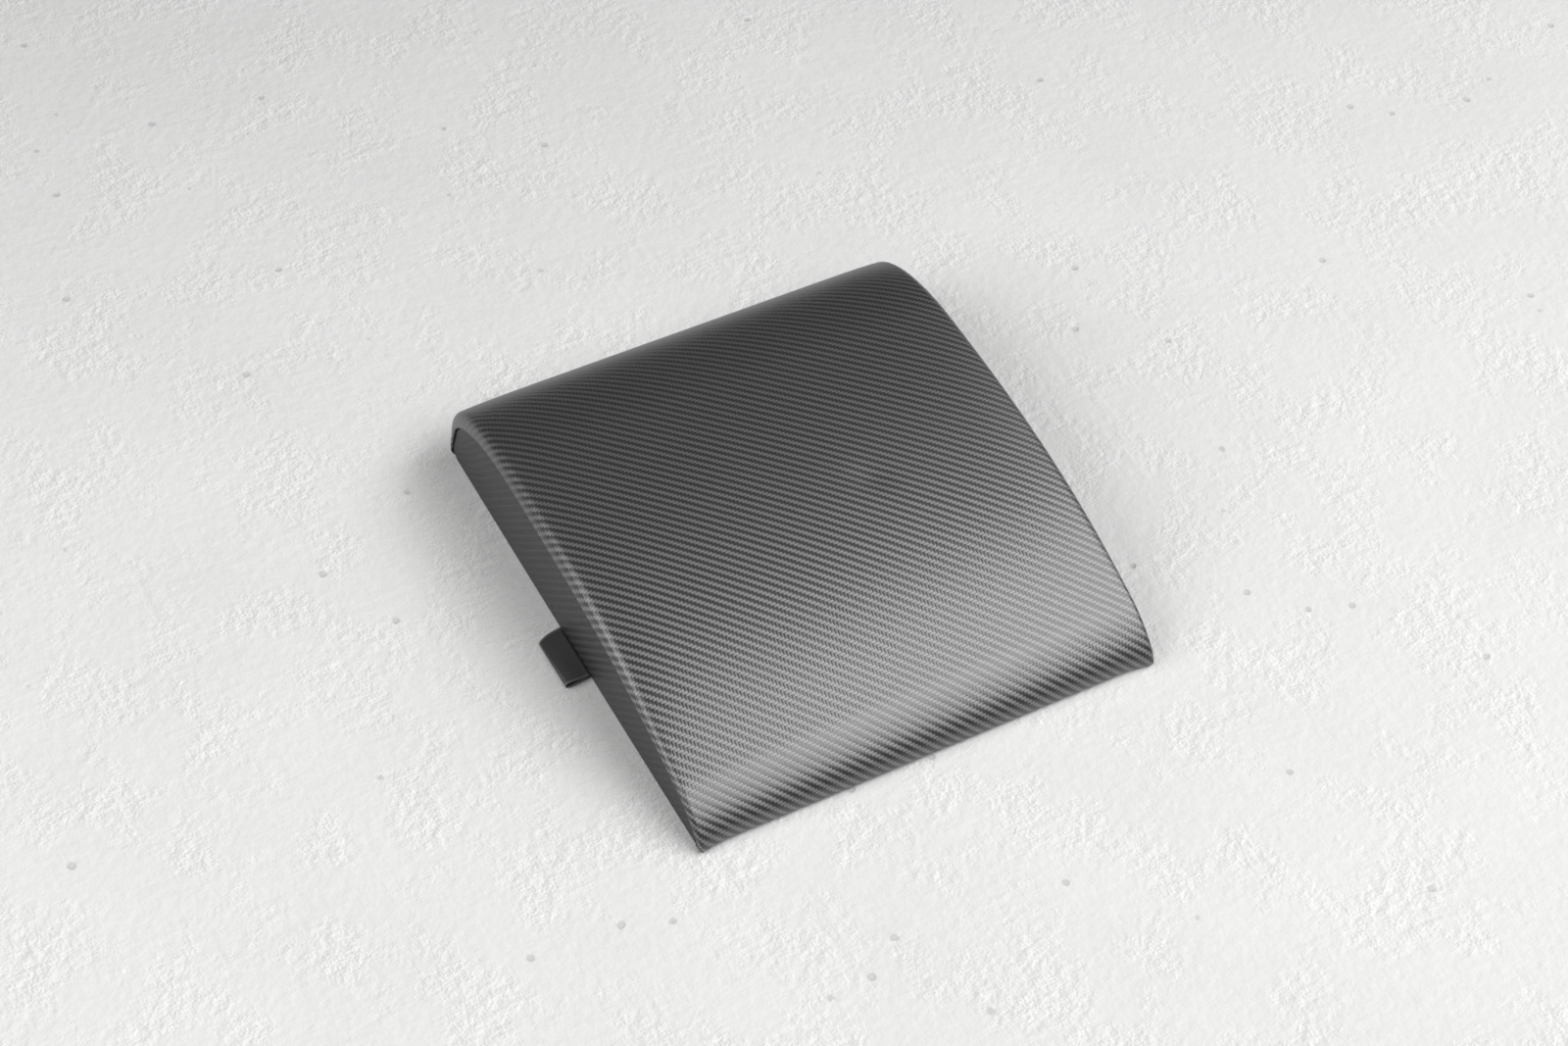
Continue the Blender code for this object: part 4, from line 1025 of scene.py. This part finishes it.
def concrete(stage):
    """Pale, finely mottled concrete with small pits and faint trowel marks.

    Its marks are shaded as if lit from one side, by the difference to the same marks a little beside.
    """
    material, tree = new_material("concrete")
    here = on_piece(tree)
    beside = add_node(tree, "ShaderNodeVectorMath", {"operation": "ADD"}, {0: here, 1: MARK_SHADOW})
    broad, patchy = noise(tree, 7.0, 5.0, 0.6, here), noise(tree, 16.0, 3.0, 0.6, here)
    fine, fine_beside = (noise(tree, 120.0, 7.0, 0.68, at) for at in (here, beside))
    crease, crease_beside = (
        between(tree, (noise(tree, 48.0, 5.0, 0.7, at) - 0.5).size(), 0.0, 0.016, 1.0, 0.0) for at in (here, beside)
    )
    worked = between(tree, patchy, 0.46, 0.62)
    # The marks' relief is painted in as shade and light, as if lit from one side
    painted_relief_shade = (fine - fine_beside) * 5.5 * (worked * 0.75 + 0.25) + (crease - crease_beside) * 0.8 * worked
    cells = {0: here, "Scale": 36.0, "Randomness": 1.0}
    away, cell = (add_node(tree, "ShaderNodeTexVoronoi", inputs=cells, output=i) for i in (0, 1))
    kind = add_node(tree, "ShaderNodeSeparateColor", inputs={0: cell})
    pit = between(tree, away + fine * 0.10, 0.16, 0.10) * (kind > 0.72)
    shade = broad * 0.35 + fine * 0.25 + 0.20 + painted_relief_shade - pit * 0.9
    looks = {
        "Base Color": mixed(tree, shade, toned(stage.floor_colour, 0.82), toned(stage.floor_colour, 1.18)),
        "Roughness": 0.85,
        "Normal": bump(tree, fine * 0.0008 + broad * 0.003 - pit * 0.0006),
    }
    return finish_shader(material, looks)


# Operators


class ABMAT_OT_foam(bpy.types.Operator):
    """Make the foam that fills the cover"""

    bl_idname = "abmat.foam"
    bl_label = "Foam"

    def execute(self, context):
        item = settled_foam(context.scene.abmat_mat)
        finer = item.modifiers.new("finer", "SUBSURF")
        finer.levels = finer.render_levels = 1
        apply_modifiers(item)
        item.data.shade_smooth()
        make_piece(item, open_foam(), "foam", "foam_core")
        return {"FINISHED"}


class ABMAT_OT_top_cover(bpy.types.Operator):
    """Make the panel that runs from the front lip over the crest to the closing"""

    bl_idname = "abmat.top_cover"
    bl_label = "Top cover"

    def execute(self, context):
        mat = context.scene.abmat_mat
        skin = embossed_vinyl("twill_vinyl", context.scene.abmat_vinyl, 1.0)
        path, columns = top_path(mat), wide_columns(mat)
        even = np.linspace(HEM_GAP, path.length, round(path.length / mat.step))
        lengths = np.concatenate([[HEM_GAP] * 2, even])
        depths = np.concatenate([HEM_DEPTHS, np.zeros(len(even))])
        cover_sheet("top_cover", path, lengths, columns, depths, mat, skin, "embossed_vinyl", "top_panel")
        return {"FINISHED"}


class ABMAT_OT_base_cover(bpy.types.Operator):
    """Make the underside that turns up to the closing"""

    bl_idname = "abmat.base_cover"
    bl_label = "Base cover"

    def execute(self, context):
        mat = context.scene.abmat_mat
        path = base_path(mat)
        even = np.linspace(0, path.length - HEM_GAP, round(path.length / mat.step))
        lengths = np.concatenate([even, [path.length - HEM_GAP] * 2])
        depths = np.concatenate([np.zeros(len(even)), HEM_DEPTHS[::-1]])
        columns, fabric = under_columns(mat, lengths), non_slip_fabric()
        cover_sheet("base_cover", path, lengths, columns, depths, mat, fabric, "non_slip_fabric", "base_panel")
        return {"FINISHED"}


class ABMAT_OT_side_panels(bpy.types.Operator):
    """Make the two wedge-shaped side panels"""

    bl_idname = "abmat.side_panels"
    bl_label = "Side panels"

    def execute(self, context):
        mat = context.scene.abmat_mat
        # This copy of the vinyl keeps a quarter of the painted highlight on its cross threads
        skin = embossed_vinyl("twill_vinyl_side", context.scene.abmat_vinyl, 0.25, 0.16, 0.4)
        for name, side in (("left_side", -1), ("right_side", 1)):
            mesh, flat, area = panel_mesh(name, side, mat)
            node, thickness = f"{name}_panel", mat.sheet_thickness
            make_sheet(name, mesh, skin, "embossed_vinyl", node, thickness, flat=flat, area=area)
        return {"FINISHED"}


class ABMAT_OT_tapes(bpy.types.Operator):
    """Make the zip's two woven tapes"""

    bl_idname = "abmat.tapes"
    bl_label = "Zip tapes"

    def execute(self, context):
        mat, closing = context.scene.abmat_mat, context.scene.abmat_zip
        half, rear = mat.length / 2, mat.rear_radius
        width, length, edge = closing.tape_width, closing.tape_length, closing.tape_edge
        x = np.linspace(-length / 2, length / 2, round(length / TAPE_STEP) + 1)
        columns = np.column_stack([x, np.full(len(x), mat.sheet_thickness + mat.layer_gap)])
        turn = arc_points((half - rear, rear), (rear, rear), 0, -90)
        lower, upper = Path([(half, closing.height - edge), (half, rear)], turn), top_path(mat)
        end = upper.length + mat.opening_high - closing.height - edge
        woven = woven_tape(closing)
        for label, path, ends in (("upper", upper, (end - width, end)), ("lower", lower, (0, width))):
            name, lengths = f"tape_{label}", np.linspace(*ends, TAPE_ROWS)
            mesh = grid_mesh(name, sheet_points(path, lengths, columns, mat), measures(x, lengths))
            node, thickness = f"zip_{name}", closing.tape_thickness
            make_sheet(name, mesh, woven, "zip_tape", node, thickness, flat=(width, length))
        return {"FINISHED"}


class ABMAT_OT_end_tabs(bpy.types.Operator):
    """Make the vinyl tabs that close the opening past the zip's ends"""

    bl_idname = "abmat.end_tabs"
    bl_label = "End tabs"

    def execute(self, context):
        mat, start = context.scene.abmat_mat, context.scene.abmat_zip.tab_start
        half, roll = mat.length / 2, roll_columns(mat)
        reach = roll[0][0] - start
        right = np.array([(start + reach * i / TAB_COLUMNS, 0.0) for i in range(TAB_COLUMNS)] + roll)
        run = run_along(right)
        path = Path([(half, mat.opening_high - mat.layer_gap), (half, mat.opening_low + mat.layer_gap)])
        lengths = np.linspace(0, path.length, TAB_ROWS)
        skin = bpy.data.materials["twill_vinyl"]
        for label, side in (("right", 1), ("left", -1)):
            name = f"end_tab_{label}"
            points = sheet_points(path, lengths, (right * (side, 1))[::side], mat)
            mesh = grid_mesh(name, points, measures(run[::side], lengths))
            flat = (path.length, run[-1])
            make_sheet(name, mesh, skin, "embossed_vinyl", f"zip_{name}", mat.sheet_thickness, flat=flat)
        return {"FINISHED"}


class ABMAT_OT_hard_parts(bpy.types.Operator):
    """Finish the zip's teeth, stops, slider and pull"""

    bl_idname = "abmat.hard_parts"
    bl_label = "Zip hard parts"

    def execute(self, context):
        moulded, metal = moulded_teeth(), painted_metal(context.scene.abmat_zip)
        for name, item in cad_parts.items():
            if name.startswith(MOULDED_PARTS + METAL_PARTS):
                item.data.materials.clear()
                item.data.materials.append(moulded if name.startswith(MOULDED_PARTS) else metal)
        return {"FINISHED"}


class ABMAT_OT_stitches(bpy.types.Operator):
    """Sew the hems and the end tabs along the closing"""

    bl_idname = "abmat.stitches"
    bl_label = "Stitches"

    def execute(self, context):
        scene = context.scene
        mat, stitch = scene.abmat_mat, scene.abmat_stitch
        top, base, reach = top_path(mat), base_path(mat), mat.width / 2 - STITCH_END_GAP
        x = np.linspace(-reach, reach, STITCH_STEPS)
        columns = np.column_stack([x, np.full(len(x), -STITCH_ABOVE)])
        rows = ((top, top.length - HEM_STITCH), (base, HEM_STITCH))
        lines = [sheet_points(path, [length], columns, mat)[0] for path, length in rows]
        z = np.linspace(mat.opening_low + TAB_STITCH_GAP, mat.opening_high - TAB_STITCH_GAP, TAB_STITCH_STEPS)
        for side in (-1, 1):
            for inset in TAB_STITCHES:
                at = (side * (scene.abmat_zip.tab_start + inset), mat.length / 2 + STITCH_ABOVE)
                lines.append(np.array([(*at, height) for height in z]))
        lay_stitches("closing_stitches", lines, stitch, sewing_thread(stitch))
        return {"FINISHED"}


class ABMAT_OT_ribbon_loop(bpy.types.Operator):
    """Make the folded ribbon that stands out of the left seam"""

    bl_idname = "abmat.ribbon_loop"
    bl_label = "Ribbon loop"

    def execute(self, context):
        loop = context.scene.abmat_loop
        points, shares, run = ribbon_grid(context.scene.abmat_mat, loop)
        mesh = grid_mesh("ribbon_loop", points, measures(run, shares * loop.width))
        satin, flat = satin_ribbon(loop), (loop.width, float(run[-1]))
        make_sheet(
            "ribbon_loop", mesh, satin, "ribbon", "side_loop", loop.thickness, "folded", "left_side", flat=flat
        )
        return {"FINISHED"}


class ABMAT_OT_stage(bpy.types.Operator):
    """Make the concrete floor, the soft lights and the camera"""

    bl_idname = "abmat.stage"
    bl_label = "Stage"

    def execute(self, context):
        scene, stage = context.scene, context.scene.abmat_stage
        mesh = bpy.data.meshes.new("floor")
        corners = [(x * FLOOR_REACH, y * FLOOR_REACH, 0) for x, y in ((-1, -1), (1, -1), (1, 1), (-1, 1))]
        mesh.from_pydata(corners, [], [(0, 1, 2, 3)])
        mesh.materials.append(concrete(stage))
        add_object("floor", mesh)
        for name, at, size in LAMPS:
            add_light(name, at, size, getattr(stage, f"{name}_power"))

        world = bpy.data.worlds.new("studio")
        scene.world = world
        world.use_nodes = True
        sky = world.node_tree.nodes["Background"].inputs
        sky["Color"].default_value = (1, 1, 1, 1)
        sky["Strength"].default_value = stage.world_strength

        at, target = Vector(stage.camera_at), Vector(stage.looks_at)
        back = (at - target).normalized()
        right = Vector((0, 0, 1)).cross(back).normalized()
        up = back.cross(right)
        turned_right = right * math.cos(stage.roll) + up * math.sin(stage.roll)
        turned_up = up * math.cos(stage.roll) - right * math.sin(stage.roll)
        lens = bpy.data.cameras.new("camera")
        lens.sensor_width = SENSOR_WIDTH
        lens.lens = stage.lens
        camera = add_object("camera", lens)
        turn = Matrix((turned_right, turned_up, back)).transposed().to_4x4()
        camera.matrix_world = Matrix.Translation(at) @ turn
        scene.camera = camera
        scene.view_settings.view_transform = "Standard"
        return {"FINISHED"}


def add_light(name, at, size, power):
    """A rectangular area light that faces the mat."""
    data = bpy.data.lights.new(name, "AREA")
    data.shape = "RECTANGLE"
    data.size, data.size_y = size
    data.energy = power
    item = add_object(name, data)
    item.location = at
    item.rotation_euler = (-Vector(at)).to_track_quat("-Z", "Y").to_euler()


class ABMAT_PT_panel(bpy.types.Panel):
    """The mat's pieces and sizes"""

    bl_label = "Ab Mat"
    bl_idname = "ABMAT_PT_panel"
    bl_space_type = "VIEW_3D"
    bl_region_type = "UI"
    bl_category = "Ab Mat"

    def draw(self, context):
        for group in GROUPS:
            settings = getattr(context.scene, group)
            box = self.layout.box()
            for name in settings.__annotations__:
                box.prop(settings, name)
        for operator in OPERATORS:
            self.layout.operator(operator.bl_idname)


GROUPS = {
    "abmat_mat": MatSettings,
    "abmat_vinyl": VinylSettings,
    "abmat_zip": ZipSettings,
    "abmat_loop": LoopSettings,
    "abmat_stitch": StitchSettings,
    "abmat_stage": StageSettings,
}
OPERATORS = (
    ABMAT_OT_foam,
    ABMAT_OT_top_cover,
    ABMAT_OT_base_cover,
    ABMAT_OT_side_panels,
    ABMAT_OT_tapes,
    ABMAT_OT_end_tabs,
    ABMAT_OT_hard_parts,
    ABMAT_OT_stitches,
    ABMAT_OT_ribbon_loop,
    ABMAT_OT_stage,
)


def register():
    """Register the settings, operators and panel."""
    for cls in (*GROUPS.values(), *OPERATORS, ABMAT_PT_panel):
        bpy.utils.register_class(cls)
    for name, cls in GROUPS.items():
        setattr(bpy.types.Scene, name, bpy.props.PointerProperty(type=cls))


def unregister():
    """Take them away again."""
    for name in GROUPS:
        delattr(bpy.types.Scene, name)
    for cls in reversed((*GROUPS.values(), *OPERATORS, ABMAT_PT_panel)):
        bpy.utils.unregister_class(cls)


def main():
    """Build every piece and the stage in order."""
    register()
    bpy.ops.abmat.foam()
    bpy.ops.abmat.top_cover()
    bpy.ops.abmat.base_cover()
    bpy.ops.abmat.side_panels()
    bpy.ops.abmat.tapes()
    bpy.ops.abmat.end_tabs()
    bpy.ops.abmat.hard_parts()
    bpy.ops.abmat.stitches()
    bpy.ops.abmat.ribbon_loop()
    bpy.ops.abmat.stage()


if __name__ == "__main__":
    main()
